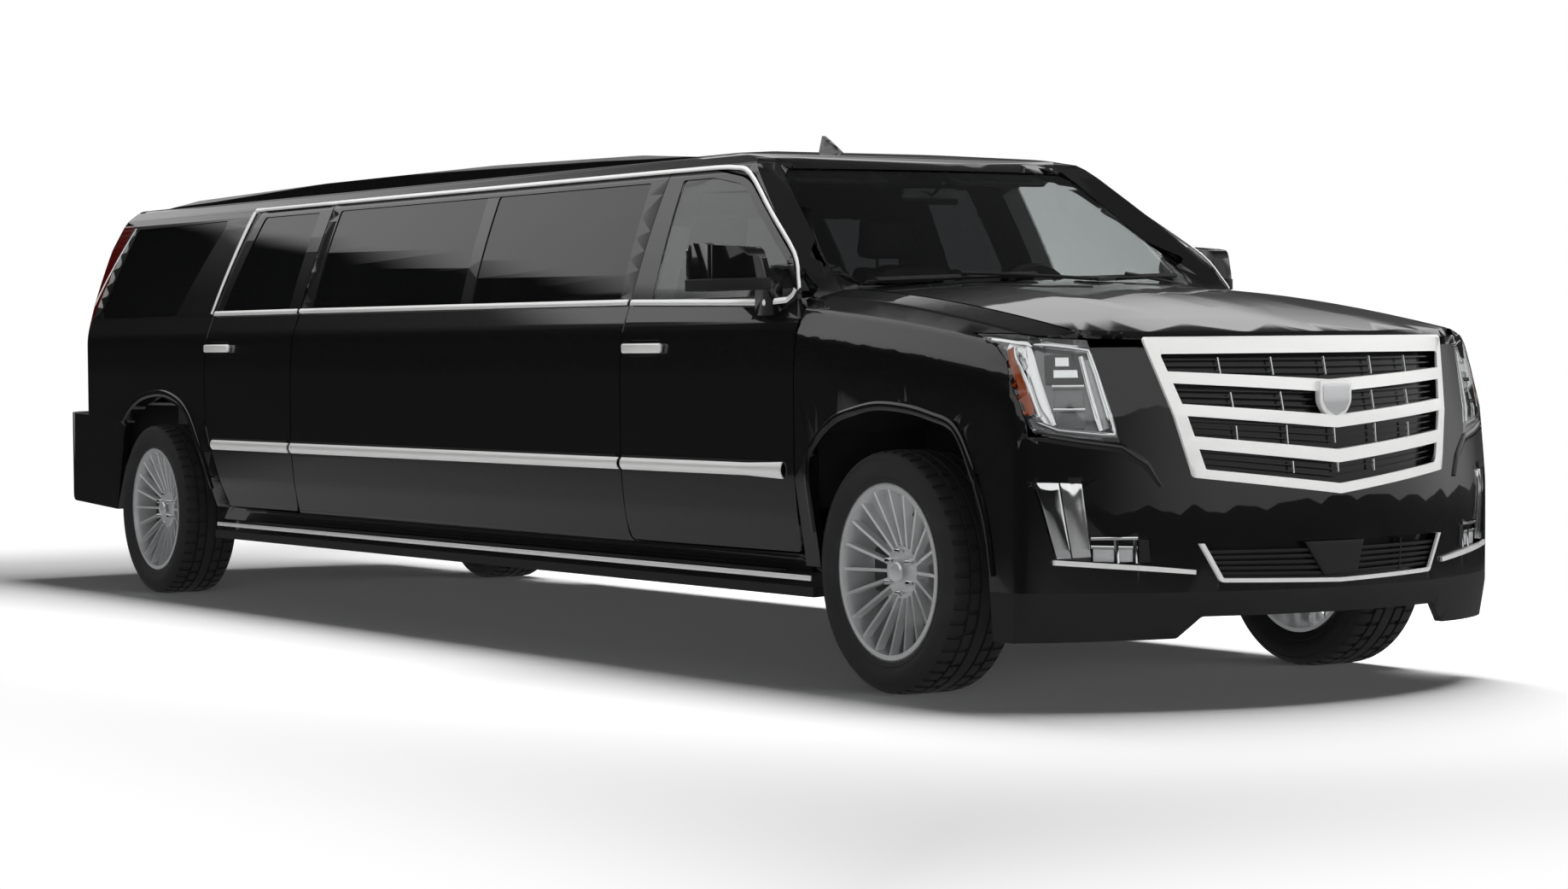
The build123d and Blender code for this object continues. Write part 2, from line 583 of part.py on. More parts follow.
# Plan outline of the hood (x, y, radius): straight sides, mitred front corners.
HOOD_REAR_X = FENDER_LINE + 22
HOOD_NOSE = 12.0             # hood edge behind the grille's top bar
HOOD_FRONT_X = FRONT_AXLE + 760
HOOD_HINGE_X = HOOD_REAR_X - 15
HOOD_HINGE_Z = 1342.0
HOOD_LUGS = (702.0, 734.0)   # inner faces of the two lugs of a hood hinge
HOOD_LUG_W = 8.0
HOOD_SKIN = 22.0
LAMP_LOW = (706.0, 780.0)    # foot and head of the headlamp's inner edge (y, z)
LAMP_HIGH = (777.0, 1240.0)
HOOD_CORNER_Y = 757.0
SCREEN_GAP = 26.0            # hood edge to windscreen

with BuildPart() as hood:
    add(front_outer)
    add(front_hull(HOOD_SKIN), mode=Mode.SUBTRACT)
    add(block(HOOD_REAR_X, LENGTH / 2, -HOOD_HALF, HOOD_HALF, 1000, ROOF_Z),
        mode=Mode.INTERSECT)
    add(ahead_of_screen(-SCREEN_GAP * SCREEN_SLOPE), mode=Mode.INTERSECT)
    add(nose_turned(HOOD_NOSE), mode=Mode.INTERSECT)
    for sign in (1, -1):
        near, far = sorted((sign * HOOD_CORNER_Y, sign * WIDE))
        add(block(HOOD_FRONT_X, LENGTH / 2, near, far, 0, ROOF_Z), mode=Mode.SUBTRACT)
        for y in HOOD_LUGS:
            low, high = sorted((sign * y, sign * (y + HOOD_LUG_W)))
            lug = block(HOOD_HINGE_X - 8, HOOD_REAR_X + 100, low, high, HOOD_HINGE_Z - 34,
                        ROOF_Z)
            add(front_outer.intersect(lug))
        pin_y = sorted((sign * HOOD_LUGS[0], sign * (HOOD_LUGS[1] + HOOD_LUG_W)))
        add(rod(Plane((HOOD_HINGE_X, pin_y[1], HOOD_HINGE_Z), z_dir=(0, -1, 0)), HINGE_PIN_R,
                pin_y[1] - pin_y[0]))
hood.part.label = "hood"
export_step(hood.part, "parts/hood.step")

HEADLAMP = front((432, 1188, 0), (600, 1184, 60), (935, 1150, 0), (935, 838, 0), (748, 868, 30),
                 (702, 980, 60), (645, 1095, 60), (560, 1152, 60))
BUMPER_SEAM = front((470, 722, 0), (738, 862, 20), (1300, 862, 0), (1300, 0, 0), (470, 0, 0))
FENDER = front((-555, 400, 0), (-555, 1420, 0), (860, 1420, 0), (860, 700, 0), (470, 700, 0),
               (470, 400, 0))
with BuildPart() as front_fenders:
    add(front_outer)
    add(front_inner, mode=Mode.SUBTRACT)
    add(side_prism(FENDER, HOOD_HALF + SHUT_GAP, WIDE), mode=Mode.INTERSECT)
    add(side_prism(FRONT_ARCH, SIDE_NEAR, WIDE), mode=Mode.SUBTRACT)
    add(side_prism(grow(HEADLAMP, 4), SIDE_NEAR, WIDE), mode=Mode.SUBTRACT)
    add(side_prism(grow(BUMPER_SEAM, FIT), SIDE_NEAR, WIDE), mode=Mode.SUBTRACT)
    add(nose_turned(0), mode=Mode.INTERSECT)
    mirror(about=Plane.XZ)
front_fenders.part.label = "front_fenders"
export_step(front_fenders.part, "parts/front_fenders.step")

# ---------------------------------------------------------------- nose outlines (y, z, radius)
GRILLE = mirrored([(515, 731, 12), (620, 1172, 12)]) + [(0, 670, 0)]
GRILLE_OPEN = mirrored([(476, 756, 6), (576, 1118, 6)]) + [(0, 702, 0)]
GRILLE_BARS = (  # centre height, height at the frame, thickness
    (1012, 1048, 40), (899, 950, 40), (789, 852, 42),
)
LOWER_OPEN = mirrored([(425, 414, 6), (486, 524, 0)]) + [(0, 402, 0)]
CORNER_LAMP = [(950, 724, 10), (828, 716, 8), (812, 556, 8), (672, 540, 8), (668, 466, 8),
               (892, 476, 8)]
BLADE = [(900, 478, 0), (640, 456, 0), (512, 442, 0), (512, 428, 0), (640, 440, 0),
         (900, 462, 0)]
NOSE_BACK = FRONT_AXLE + 400
NOSE_FRONT = FRONT_AXLE + FRONT_OVERHANG + 40
VALANCE_TOP_Z = 372.0
VALANCE = mirrored([(482, 294, 20), (552, 226, 20), (WIDE, 212, 0), (WIDE, VALANCE_TOP_Z, 0)])


def nose_layer(shallow, deep):
    """Skin of the nose between two depths."""
    with BuildPart() as layer:
        add(nose_hull(shallow))
        add(nose_hull(deep), mode=Mode.SUBTRACT)
    return layer.part


def both_sides(rows):
    """The same front-view prism on the left and on the right of the nose."""
    with BuildPart() as pair:
        add(front_prism(rows, NOSE_BACK, NOSE_FRONT))
        mirror(about=Plane.XZ)
    return pair.part


nose_skin = nose_layer(0, FENDER_SKIN)
LAMP_ZONE = [(LAMP_LOW[0], LAMP_LOW[1], 0), (WIDE, LAMP_LOW[1], 0), (WIDE, LAMP_HIGH[1], 0),
             (LAMP_HIGH[0], LAMP_HIGH[1], 0)]
with BuildPart() as lamp_room:
    add(side_prism(grow(HEADLAMP, FIT), SIDE_NEAR, WIDE))
    add(front_prism(grow(LAMP_ZONE, FIT), NOSE_BACK, NOSE_FRONT), mode=Mode.INTERSECT)
    mirror(about=Plane.XZ)
with BuildPart() as bumper_zone:
    add(side_prism(BUMPER_SEAM, -WIDE, WIDE))
    add(block(NOSE_BACK, NOSE_FRONT, -HOOD_CORNER_Y, HOOD_CORNER_Y, 800, 1140))
with BuildPart() as front_bumper:
    add(nose_skin)
    add(bumper_zone.part, mode=Mode.INTERSECT)
    add(block(NOSE_BACK, NOSE_FRONT, -WIDE, WIDE, 0, VALANCE_TOP_Z), mode=Mode.SUBTRACT)
    add(lamp_room.part, mode=Mode.SUBTRACT)
    add(side_prism(FRONT_ARCH, -WIDE, WIDE), mode=Mode.SUBTRACT)
    add(front_prism(GRILLE_OPEN, NOSE_BACK, NOSE_FRONT), mode=Mode.SUBTRACT)
    add(front_prism(LOWER_OPEN, NOSE_BACK, NOSE_FRONT), mode=Mode.SUBTRACT)
    add(both_sides(grow(CORNER_LAMP, FIT)), mode=Mode.SUBTRACT)
front_bumper.part.label = "front_bumper"
export_step(front_bumper.part, "parts/front_bumper.step")

with BuildPart() as front_valance:
    add(nose_skin)
    add(front_prism(VALANCE, NOSE_BACK, NOSE_FRONT), mode=Mode.INTERSECT)
    add(side_prism(FRONT_ARCH, -WIDE, WIDE), mode=Mode.SUBTRACT)
front_valance.part.label = "front_valance"
export_step(front_valance.part, "parts/front_valance.step")

# ---------------------------------------------------------------- grille
with BuildPart() as bar_set:
    for centre_z, side_z, tall in GRILLE_BARS:
        half = HALF_WIDTH - 360
        add(front_prism([(0, centre_z - tall / 2, 0), (half, side_z - tall / 2 + 4, 0),
                         (half, side_z + tall / 2, 0), (0, centre_z + tall / 2, 0),
                         (-half, side_z + tall / 2, 0), (-half, side_z - tall / 2 + 4, 0)],
                        NOSE_BACK, NOSE_FRONT))
with BuildPart() as grille_ring:
    add(front_prism(GRILLE, NOSE_BACK, NOSE_FRONT))
    add(front_prism(GRILLE_OPEN, NOSE_BACK, NOSE_FRONT), mode=Mode.SUBTRACT)
with BuildPart() as lower_ring:
    add(front_prism(grow(LOWER_OPEN, 13), NOSE_BACK, NOSE_FRONT))
    add(front_prism(LOWER_OPEN, NOSE_BACK, NOSE_FRONT), mode=Mode.SUBTRACT)
    add(block(NOSE_BACK, NOSE_FRONT, -WIDE, WIDE, 524, 600), mode=Mode.SUBTRACT)
with BuildPart() as bars_in_opening:
    add(bar_set.part)
    add(front_prism(grow(GRILLE_OPEN, -FIT), NOSE_BACK, NOSE_FRONT), mode=Mode.INTERSECT)
    add(nose_layer(-8, 24), mode=Mode.INTERSECT)
with BuildPart() as grille_frame:
    add(bar_set.part)
    add(front_prism(GRILLE, NOSE_BACK, NOSE_FRONT), mode=Mode.INTERSECT)
    add(grille_ring.part)
    add(lower_ring.part)
    add(both_sides(BLADE))
    add(nose_layer(-CHROME_PROUD, -FIT), mode=Mode.INTERSECT)
    add(bars_in_opening.part)
grille_frame.part.label = "grille_frame"
export_step(grille_frame.part, "parts/grille_frame.step")

CORE_GAP = 0.8               # grille core behind the bumper skin
with BuildPart() as grille_core:
    add(front_prism(grow(GRILLE_OPEN, 14), NOSE_BACK, NOSE_FRONT))
    add(front_prism(grow(LOWER_OPEN, 8), NOSE_BACK, NOSE_FRONT))
    add(nose_layer(FENDER_SKIN + CORE_GAP, FENDER_SKIN + 14), mode=Mode.INTERSECT)
grille_core.part.label = "grille_core"
export_step(grille_core.part, "parts/grille_core.step")

# ---------------------------------------------------------------- lamps
with BuildPart() as lamp_body:
    add(front_outer)
    add(nose_turned(0), mode=Mode.INTERSECT)
    add(side_prism(HEADLAMP, SIDE_NEAR, WIDE), mode=Mode.INTERSECT)
    add(front_prism(LAMP_ZONE, NOSE_BACK, NOSE_FRONT), mode=Mode.INTERSECT)
with BuildPart() as under_hood:
    add(front_hull(HOOD_SKIN + SHUT_GAP))
    add(block(FRONT_AXLE, HOOD_FRONT_X + SHUT_GAP, 0, HOOD_HALF + SHUT_GAP, 0, ROOF_Z),
        mode=Mode.INTERSECT)
    add(block(FRONT_AXLE, LENGTH / 2, HOOD_HALF + SHUT_GAP, WIDE, 0, ROOF_Z))
    add(block(HOOD_FRONT_X + SHUT_GAP, LENGTH / 2, 0, WIDE, 0, ROOF_Z))
with BuildPart() as front_lamps:
    add(lamp_body.part)
    add(under_hood.part, mode=Mode.INTERSECT)
    mirror(about=Plane.XZ)
with BuildPart() as corner_lamps:
    add(both_sides(CORNER_LAMP))
    add(nose_layer(2, FENDER_SKIN - 2), mode=Mode.INTERSECT)
with BuildPart() as all_front_lamps:
    add(front_lamps.part)
    add(corner_lamps.part)
all_front_lamps.part.label = "front_lamps"
export_step(all_front_lamps.part, "parts/front_lamps.step")

# ---------------------------------------------------------------- tailgate
print("tail")
with BuildPart() as gate_rim:
    add(cabin_hull(GATE_SKIN))
    add(front_prism(grow(TAILGATE, -SHUT_GAP - GATE_STEP), TAIL_BACK - 20, TAIL_SPAN + 200),
        mode=Mode.SUBTRACT)
with BuildPart() as tailgate:
    add(cabin_outer)
    add(cabin_inner, mode=Mode.SUBTRACT)
    add(tailgate_zone(SHUT_GAP), mode=Mode.INTERSECT)
    add(gate_rim.part, mode=Mode.SUBTRACT)
    add(front_prism(TAILGATE_WINDOW, TAIL_BACK, TAIL_SPAN), mode=Mode.SUBTRACT)
    for sign in (1, -1):
        y = sign * TAILGATE_PIN_Y
        add(block(TAILGATE_HINGE_X - 20, TAILGATE_HINGE_X + 20, y - 14, y + 14, ROOF_Z - 50,
                  ROOF_Z + 20), mode=Mode.SUBTRACT)
        for low in (y - 22, y + 14):
            add(block(TAILGATE_HINGE_X - 30, TAILGATE_HINGE_X + 7, low, low + 8,
                      TAILGATE_HINGE_Z - 8, ROOF_Z - 1))
        add(rod(Plane((TAILGATE_HINGE_X, y + 22, TAILGATE_HINGE_Z), z_dir=(0, -1, 0)),
                HINGE_PIN_R, 44))
tailgate.part.label = "tailgate"
export_step(tailgate.part, "parts/tailgate.step")

with BuildPart() as tailgate_glass:
    add(cabin_hull(GLASS_DEPTH))
    add(cabin_hull(GLASS_DEPTH + GLASS), mode=Mode.SUBTRACT)
    add(front_prism(grow(TAILGATE_WINDOW, -FIT), TAIL_BACK, TAIL_SPAN), mode=Mode.INTERSECT)
tailgate_glass.part.label = "tailgate_glass"
export_step(tailgate_glass.part, "parts/tailgate_glass.step")

with BuildPart() as tail_lamps:
    add(lamp_strip(0))
    add(cabin_outer, mode=Mode.INTERSECT)
    mirror(about=Plane.XZ)
tail_lamps.part.label = "tail_lamps"
export_step(tail_lamps.part, "parts/tail_lamps.step")

# ---------------------------------------------------------------- rear bumper
REAR_BUMPER_SIDE = rear((-330, BUMPER_TOP_Z - 44, 0), (-1400, BUMPER_TOP_Z, 0),
                        (-1400, 800, 0), (-1235, 560, 150), (-1100, 415, 80), (-330, 380, 0))
REAR_BUMPER_HALF = 985.0
REAR_BUMPER_CORNER = 150.0
REAR_BUMPER_SAG = 110.0
BUMPER_WALL = 40.0
REAR_PANEL_X = TAIL_X + 20   # rear face of the panel under the tailgate


def rear_bumper_hull(depth):
    """Closed volume of the rear bumper, its skin moved in by a depth."""
    half = REAR_BUMPER_HALF - depth
    corner_x = -LENGTH / 2 + REAR_BUMPER_SAG + depth
    front_x = REAR_AXLE - 330 + depth
    with BuildPart() as hull:
        with BuildSketch(Plane.XY) as plan:
            with BuildLine():
                ThreePointArc((corner_x, half), (-LENGTH / 2 + depth, 0), (corner_x, -half))
                Polyline((corner_x, -half), (front_x, -half), (front_x, half), (corner_x, half))
            make_face()
            fillet(plan.vertices().group_by(Axis.X)[0],
                   radius=max(REAR_BUMPER_CORNER - depth, 5))
        extrude(amount=ROOF_Z)
        add(side_prism(grow(REAR_BUMPER_SIDE, -depth), -WIDE, WIDE), mode=Mode.INTERSECT)
    return hull.part


with BuildPart() as rear_bumper:
    add(rear_bumper_hull(0))
    add(rear_bumper_hull(BUMPER_WALL), mode=Mode.SUBTRACT)
    add(block(REAR_PANEL_X - FIT, REAR_AXLE, BUMPER_WALL - REAR_BUMPER_HALF,
              REAR_BUMPER_HALF - BUMPER_WALL, 300, ROOF_Z), mode=Mode.SUBTRACT)
    add(side_prism(REAR_ARCH, -WIDE, WIDE), mode=Mode.SUBTRACT)
rear_bumper.part.label = "rear_bumper"
export_step(rear_bumper.part, "parts/rear_bumper.step")

# ---------------------------------------------------------------- floor
print("underbody")
FLOOR_Z = SILL_Z + WALL      # top of the floor
FLOOR_T = 36.0
REAR_FLOOR_Z = FLOOR_Z + 190
FLOOR_HALF = HALF_WIDTH - SILL_WIDTH
FLOOR_FRONT = FRONT_AXLE - 490
STEP_X = (REAR_AXLE + 720, REAR_AXLE + 520)    # foot and head of the kick-up
PANEL_T = 30.0
WHEEL_TUB = 660.0            # half width between the rear wheel tubs
TUB_T = 12.0
TUB_X = (REAR_AXLE - 520, REAR_AXLE + 640)
TUB_Z = 900.0
TUB_OUT = HALF_WIDTH - WALL - 20
FLOOR_TOP = [(FLOOR_FRONT, FLOOR_Z), (STEP_X[0], FLOOR_Z), (STEP_X[1], REAR_FLOOR_Z),
             (REAR_PANEL_X, REAR_FLOOR_Z)]


def slab(top, thick):
    """Side-view outline of a plate under a polyline of (x, z) points."""
    return [(x, z, 0) for x, z in top] + [(x, z - thick, 0) for x, z in reversed(top)]


with BuildPart() as floor_pan:
    add(side_prism(slab(FLOOR_TOP, FLOOR_T), -FLOOR_HALF, FLOOR_HALF))
    add(block(REAR_PANEL_X, REAR_PANEL_X + PANEL_T, -FLOOR_HALF, FLOOR_HALF, REAR_FLOOR_Z,
              BUMPER_TOP_Z - 4))
    for sign in (1, -1):
        low, high = sorted((sign * WHEEL_TUB, sign * WIDE))
        add(block(*TUB_X, low, high, 0, ROOF_Z), mode=Mode.SUBTRACT)
        low, high = sorted((sign * (WHEEL_TUB - TUB_T), sign * TUB_OUT))
        add(block(*TUB_X, low, high, FLOOR_Z, TUB_Z + TUB_T))
        low, high = sorted((sign * WHEEL_TUB, sign * WIDE))
        add(block(TUB_X[0] + TUB_T, TUB_X[1] - TUB_T, low, high, 0, TUB_Z), mode=Mode.SUBTRACT)
floor_pan.part.label = "floor_pan"
export_step(floor_pan.part, "parts/floor_pan.step")

# ---------------------------------------------------------------- bulkhead and cowl
LUG_GAP = 5.0                # between a fixed ear and the lugs on both sides of it
with BuildPart() as bulkhead:
    add(body_shell.part)
    add(block(FENDER_LINE, COWL_X, 5 - HOOD_HALF, HOOD_HALF - 5, BELT_Z - 100, BELT_Z + 100),
        mode=Mode.INTERSECT)
    wall = block(FLOOR_FRONT - PANEL_T, FLOOR_FRONT, -FLOOR_HALF, FLOOR_HALF, FLOOR_Z,
                 BELT_Z + 22)
    add(cabin_outer.intersect(wall))
    for sign in (1, -1):
        low, high = sorted((sign * 560, sign * WIDE))
        add(block(FENDER_LINE, COWL_X, low, high, BELT_Z - 30, ROOF_Z), mode=Mode.SUBTRACT)
        ends = (HOOD_LUGS[0] + HOOD_LUG_W + LUG_GAP, HOOD_LUGS[1] - LUG_GAP)
        low, high = sorted((sign * ends[0], sign * ends[1]))
        add(block(HOOD_HINGE_X - 9, HOOD_HINGE_X + 9, low, high, BELT_Z - 60, HOOD_HINGE_Z))
        add(rod(Plane((HOOD_HINGE_X, high, HOOD_HINGE_Z), z_dir=(0, -1, 0)), 9, high - low))
        add(rod(Plane((HOOD_HINGE_X, high + 1, HOOD_HINGE_Z), z_dir=(0, -1, 0)),
                HINGE_PIN_R + RUN_FIT, high - low + 2), mode=Mode.SUBTRACT)
bulkhead.part.label = "bulkhead"
export_step(bulkhead.part, "parts/bulkhead.step")

# ---------------------------------------------------------------- front wheelhouses
HOUSE_NEAR = 499.0           # inner face of a front wheelhouse
HOUSE_T = 6.0
HOUSE_FOOT_Z = AXLE_Z + 195
HOUSE_BACK = FLOOR_FRONT + FIT
HOUSE_TOP = [(HOUSE_BACK, HOUSE_FOOT_Z), (HOUSE_BACK, 860)] + front(
    (-300, 985), (300, 985), (520, 840), (550, HOUSE_FOOT_Z))
with BuildPart() as front_wheelhouses:
    add(side_prism([(x, z, 0) for x, z in HOUSE_TOP], HOUSE_NEAR, HALF_WIDTH - 50))
    inside = grow([(x, z, 0) for x, z in HOUSE_TOP], -HOUSE_T)
    inside[0] = (inside[0][0], 0, 0)
    inside[-1] = (inside[-1][0], 0, 0)
    add(side_prism(inside, HOUSE_NEAR + HOUSE_T, WIDE), mode=Mode.SUBTRACT)
    add(front_hull(FENDER_SKIN + FIT), mode=Mode.INTERSECT)
    mirror(about=Plane.XZ)
front_wheelhouses.part.label = "front_wheelhouses"
export_step(front_wheelhouses.part, "parts/front_wheelhouses.step")

# ---------------------------------------------------------------- frame and control arms
RAIL_OUT = 430.0
RAIL_IN = 350.0
RAIL_TALL = 110.0
FRAME_TOP = FLOOR_Z - FLOOR_T
REAR_FRAME_TOP = REAR_FLOOR_Z - FLOOR_T
HORN_RISE = 60.0             # front end of the rails above the middle
RAIL_TOP = [(FRONT_AXLE + 860, FRAME_TOP + HORN_RISE), (FRONT_AXLE - 300, FRAME_TOP + HORN_RISE),
            (FLOOR_FRONT, FRAME_TOP), (STEP_X[0], FRAME_TOP), (STEP_X[1], REAR_FRAME_TOP),
            (REAR_PANEL_X + 40, REAR_FRAME_TOP)]
CROSS_Z = (FRAME_TOP - RAIL_TALL + 20, FRAME_TOP - 20)
CROSSMEMBERS = (  # centre x, fore-aft width
    (FRONT_AXLE + 830, 60), (FRONT_AXLE, 160), (FRONT_AXLE - 1250, 80),
    (FRONT_AXLE - 2700, 80), (FRONT_AXLE - 4150, 80), (REAR_AXLE + 900, 80),
)
KINGPIN_Y = WHEEL_Y - 112
KINGPIN_R = 12.0
LOWER_ARM_Z = (AXLE_Z - 143, AXLE_Z - 115)
UPPER_ARM_Z = (AXLE_Z + 140, AXLE_Z + 165)
ARM_ROOT = 190.0             # half length of an arm at the rail
ARM_END_R = 30.0
ARM_GAP = 6.0
with BuildPart() as left_arms:
    for low_z, high_z in (LOWER_ARM_Z, UPPER_ARM_Z):
        with BuildSketch(Plane.XY.offset(low_z)):
            with BuildLine():
                Polyline((FRONT_AXLE - ARM_ROOT, RAIL_OUT - 10),
                         (FRONT_AXLE + ARM_ROOT, RAIL_OUT - 10),
                         (FRONT_AXLE + ARM_END_R - 4, KINGPIN_Y),
                         (FRONT_AXLE - ARM_END_R + 4, KINGPIN_Y), close=True)
            make_face()
            with Locations((FRONT_AXLE, KINGPIN_Y)):
                Circle(ARM_END_R)
                Circle(KINGPIN_R + RUN_FIT, mode=Mode.SUBTRACT)
        extrude(amount=high_z - low_z)
    add(block(FRONT_AXLE - ARM_ROOT, FRONT_AXLE + ARM_ROOT, RAIL_OUT - 40, RAIL_OUT,
              LOWER_ARM_Z[0], UPPER_ARM_Z[1]))
with BuildPart() as chassis_frame:
    for low in (RAIL_IN, -RAIL_OUT):
        add(side_prism(slab(RAIL_TOP, RAIL_TALL), low, low + RAIL_OUT - RAIL_IN))
    for x, wide in CROSSMEMBERS:
        add(block(x - wide / 2, x + wide / 2, -RAIL_IN, RAIL_IN, *CROSS_Z))
    add(block(REAR_AXLE - 960, REAR_AXLE - 900, -RAIL_IN, RAIL_IN, REAR_FRAME_TOP - 90,
              REAR_FRAME_TOP - 10))
    add(left_arms.part)
    add(left_arms.part.mirror(Plane.XZ))
chassis_frame.part.label = "chassis_frame"
export_step(chassis_frame.part, "parts/chassis_frame.step")

# ---------------------------------------------------------------- knuckles and rear axle
HUB_BACK = WHEEL_Y - 40      # inner face of a wheel hub
HUB_FACE = WHEEL_Y + 62
SPINDLE_END = HUB_FACE - 30
SPINDLE_R = 30.0
POST_R = 28.0
for side, sign in SIDES:
    with BuildPart() as knuckle:
        axis = Plane((FRONT_AXLE, KINGPIN_Y, AXLE_Z), z_dir=(0, 1, 0))
        add(rod(Plane((FRONT_AXLE, KINGPIN_Y, LOWER_ARM_Z[0])), KINGPIN_R,
                UPPER_ARM_Z[1] - LOWER_ARM_Z[0]))
        add(rod(Plane((FRONT_AXLE, KINGPIN_Y, LOWER_ARM_Z[1] + ARM_GAP)), POST_R,
                UPPER_ARM_Z[0] - LOWER_ARM_Z[1] - 2 * ARM_GAP))
        add(rod(axis, SPINDLE_R, SPINDLE_END - KINGPIN_Y))
        add(rod(axis, 2 * POST_R, HUB_BACK - ARM_GAP - KINGPIN_Y))
        add(block(FRONT_AXLE - 150, FRONT_AXLE, KINGPIN_Y - 40, KINGPIN_Y - 15, AXLE_Z - 75,
                  AXLE_Z - 45))
        if sign < 0:
            mirror(about=Plane.XZ, mode=Mode.REPLACE)
    knuckle.part.label = f"steering_knuckle_{side}"
    export_step(knuckle.part, f"parts/steering_knuckle_{side}.step")

AXLE_TUBE_R = 45.0
AXLE_TUBE_END = HUB_BACK - 30
DIFF_R = 150.0
DIFF_HALF = 110.0
SPRING_R = 40.0
with BuildPart() as rear_axle:
    for radius, end in ((AXLE_TUBE_R, AXLE_TUBE_END), (SPINDLE_R, SPINDLE_END),
                        (DIFF_R, DIFF_HALF)):
        add(rod(Plane((REAR_AXLE, end, AXLE_Z), z_dir=(0, -1, 0)), radius, 2 * end))
    for sign in (1, -1):
        add(rod(Plane((REAR_AXLE, sign * (RAIL_IN + RAIL_OUT) / 2, AXLE_Z)), SPRING_R,
                REAR_FRAME_TOP - RAIL_TALL - AXLE_Z))
rear_axle.part.label = "rear_axle"
export_step(rear_axle.part, "parts/rear_axle.step")

# ---------------------------------------------------------------- wheels
print("wheels")
SPOKES = 20
SPOKE_T = 11.0
RIM_IN = RIM_RADIUS - 14
LIP_R = RIM_RADIUS + 13
HUB_R = 88.0
BOLTS = 6
BOLT_CIRCLE_R = 69.85
BOLT_R = 7.0
BOLT_DEPTH = 25.0
RIM_BACK = WHEEL_Y - RIM_WIDTH / 2
RIM_FACE = WHEEL_Y + RIM_WIDTH / 2 - 6
RIM_SECTION = (  # radius, y
    (RIM_IN, RIM_BACK), (RIM_RADIUS, RIM_BACK), (RIM_RADIUS, RIM_FACE - 4), (LIP_R, RIM_FACE),
    (LIP_R, RIM_FACE + 6), (RIM_IN + 4, RIM_FACE + 6), (RIM_IN, RIM_FACE - 20),
)
SPOKE_SECTION = (  # radius, y, corner radius: dished from the lip down to the hub
    (HUB_R - 15, HUB_FACE - 34, 0), (HUB_R - 15, HUB_FACE - 6, 0), (RIM_IN + 4, RIM_FACE - 2, 0),
    (RIM_IN + 4, RIM_FACE - 32, 0),
)
TYRE_SECTION = (  # radius, y from the wheel's middle plane
    (RIM_RADIUS + FIT, -TYRE_WIDTH / 2 + 16), (RIM_RADIUS + 60, -TYRE_WIDTH / 2),
    (TYRE_RADIUS - 14, -TYRE_WIDTH / 2 + 6), (TYRE_RADIUS, -TYRE_WIDTH / 2 + 26),
    (TYRE_RADIUS, TYRE_WIDTH / 2 - 26), (TYRE_RADIUS - 14, TYRE_WIDTH / 2 - 6),
    (RIM_RADIUS + 60, TYRE_WIDTH / 2), (LIP_R + FIT, TYRE_WIDTH / 2 - 16),
    (LIP_R + FIT, RIM_FACE - WHEEL_Y - FIT), (RIM_RADIUS + FIT, RIM_FACE - WHEEL_Y - 4 - FIT),
)


def turned(axle_x, section):
    """Solid turned about a left wheel's axle from (radius, y) points."""
    with BuildPart() as solid:
        with BuildSketch(Plane.XY.offset(AXLE_Z)):
            with BuildLine():
                Polyline([(axle_x + r, y) for r, y in section], close=True)
            make_face()
        revolve(axis=Axis((axle_x, 0, AXLE_Z), (0, 1, 0)))
    return solid.part


for end, axle_x in (("front", FRONT_AXLE), ("rear", REAR_AXLE)):
    axle = Axis((axle_x, 0, AXLE_Z), (0, 1, 0))
    hub_plane = Plane((axle_x, HUB_BACK, AXLE_Z), z_dir=(0, 1, 0))
    face_plane = Plane((axle_x, HUB_FACE, AXLE_Z), z_dir=(0, -1, 0))
    spoke = prism(Plane.XY.offset(AXLE_Z - SPOKE_T / 2),
                  [(axle_x + r, y, rounding) for r, y, rounding in SPOKE_SECTION], SPOKE_T)
    tyre_section = [(r, WHEEL_Y + y) for r, y in TYRE_SECTION]
    for side, sign in SIDES:
        with BuildPart() as rim:
            add(turned(axle_x, RIM_SECTION))
            for i in range(SPOKES):
                add(spoke.rotate(axle, 360 * i / SPOKES))
            add(rod(hub_plane, HUB_R, HUB_FACE - HUB_BACK))
            add(rod(hub_plane, SPINDLE_R + RUN_FIT, SPINDLE_END + 5 - HUB_BACK),
                mode=Mode.SUBTRACT)
            with BuildSketch(face_plane):
                with PolarLocations(BOLT_CIRCLE_R, BOLTS):
                    Circle(BOLT_R)
            extrude(amount=BOLT_DEPTH, mode=Mode.SUBTRACT)
            if sign < 0:
                mirror(about=Plane.XZ, mode=Mode.REPLACE)
        rim.part.label = f"rim_{end}_{side}"
        export_step(rim.part, f"parts/rim_{end}_{side}.step")
        with BuildPart() as tyre:
            add(turned(axle_x, tyre_section))
            if sign < 0:
                mirror(about=Plane.XZ, mode=Mode.REPLACE)
        tyre.part.label = f"tyre_{end}_{side}"
        export_step(tyre.part, f"parts/tyre_{end}_{side}.step")

# ---------------------------------------------------------------- engine, exhaust, tank
ENGINE_X = (FRONT_AXLE - 100, FRONT_AXLE + 500)
ENGINE_HALF = 250.0
with BuildPart() as engine_block:
    add(block(*ENGINE_X, -ENGINE_HALF, ENGINE_HALF, CROSS_Z[1], CROSS_Z[1] + 580))
engine_block.part.label = "engine_block"
export_step(engine_block.part, "parts/engine_block.step")

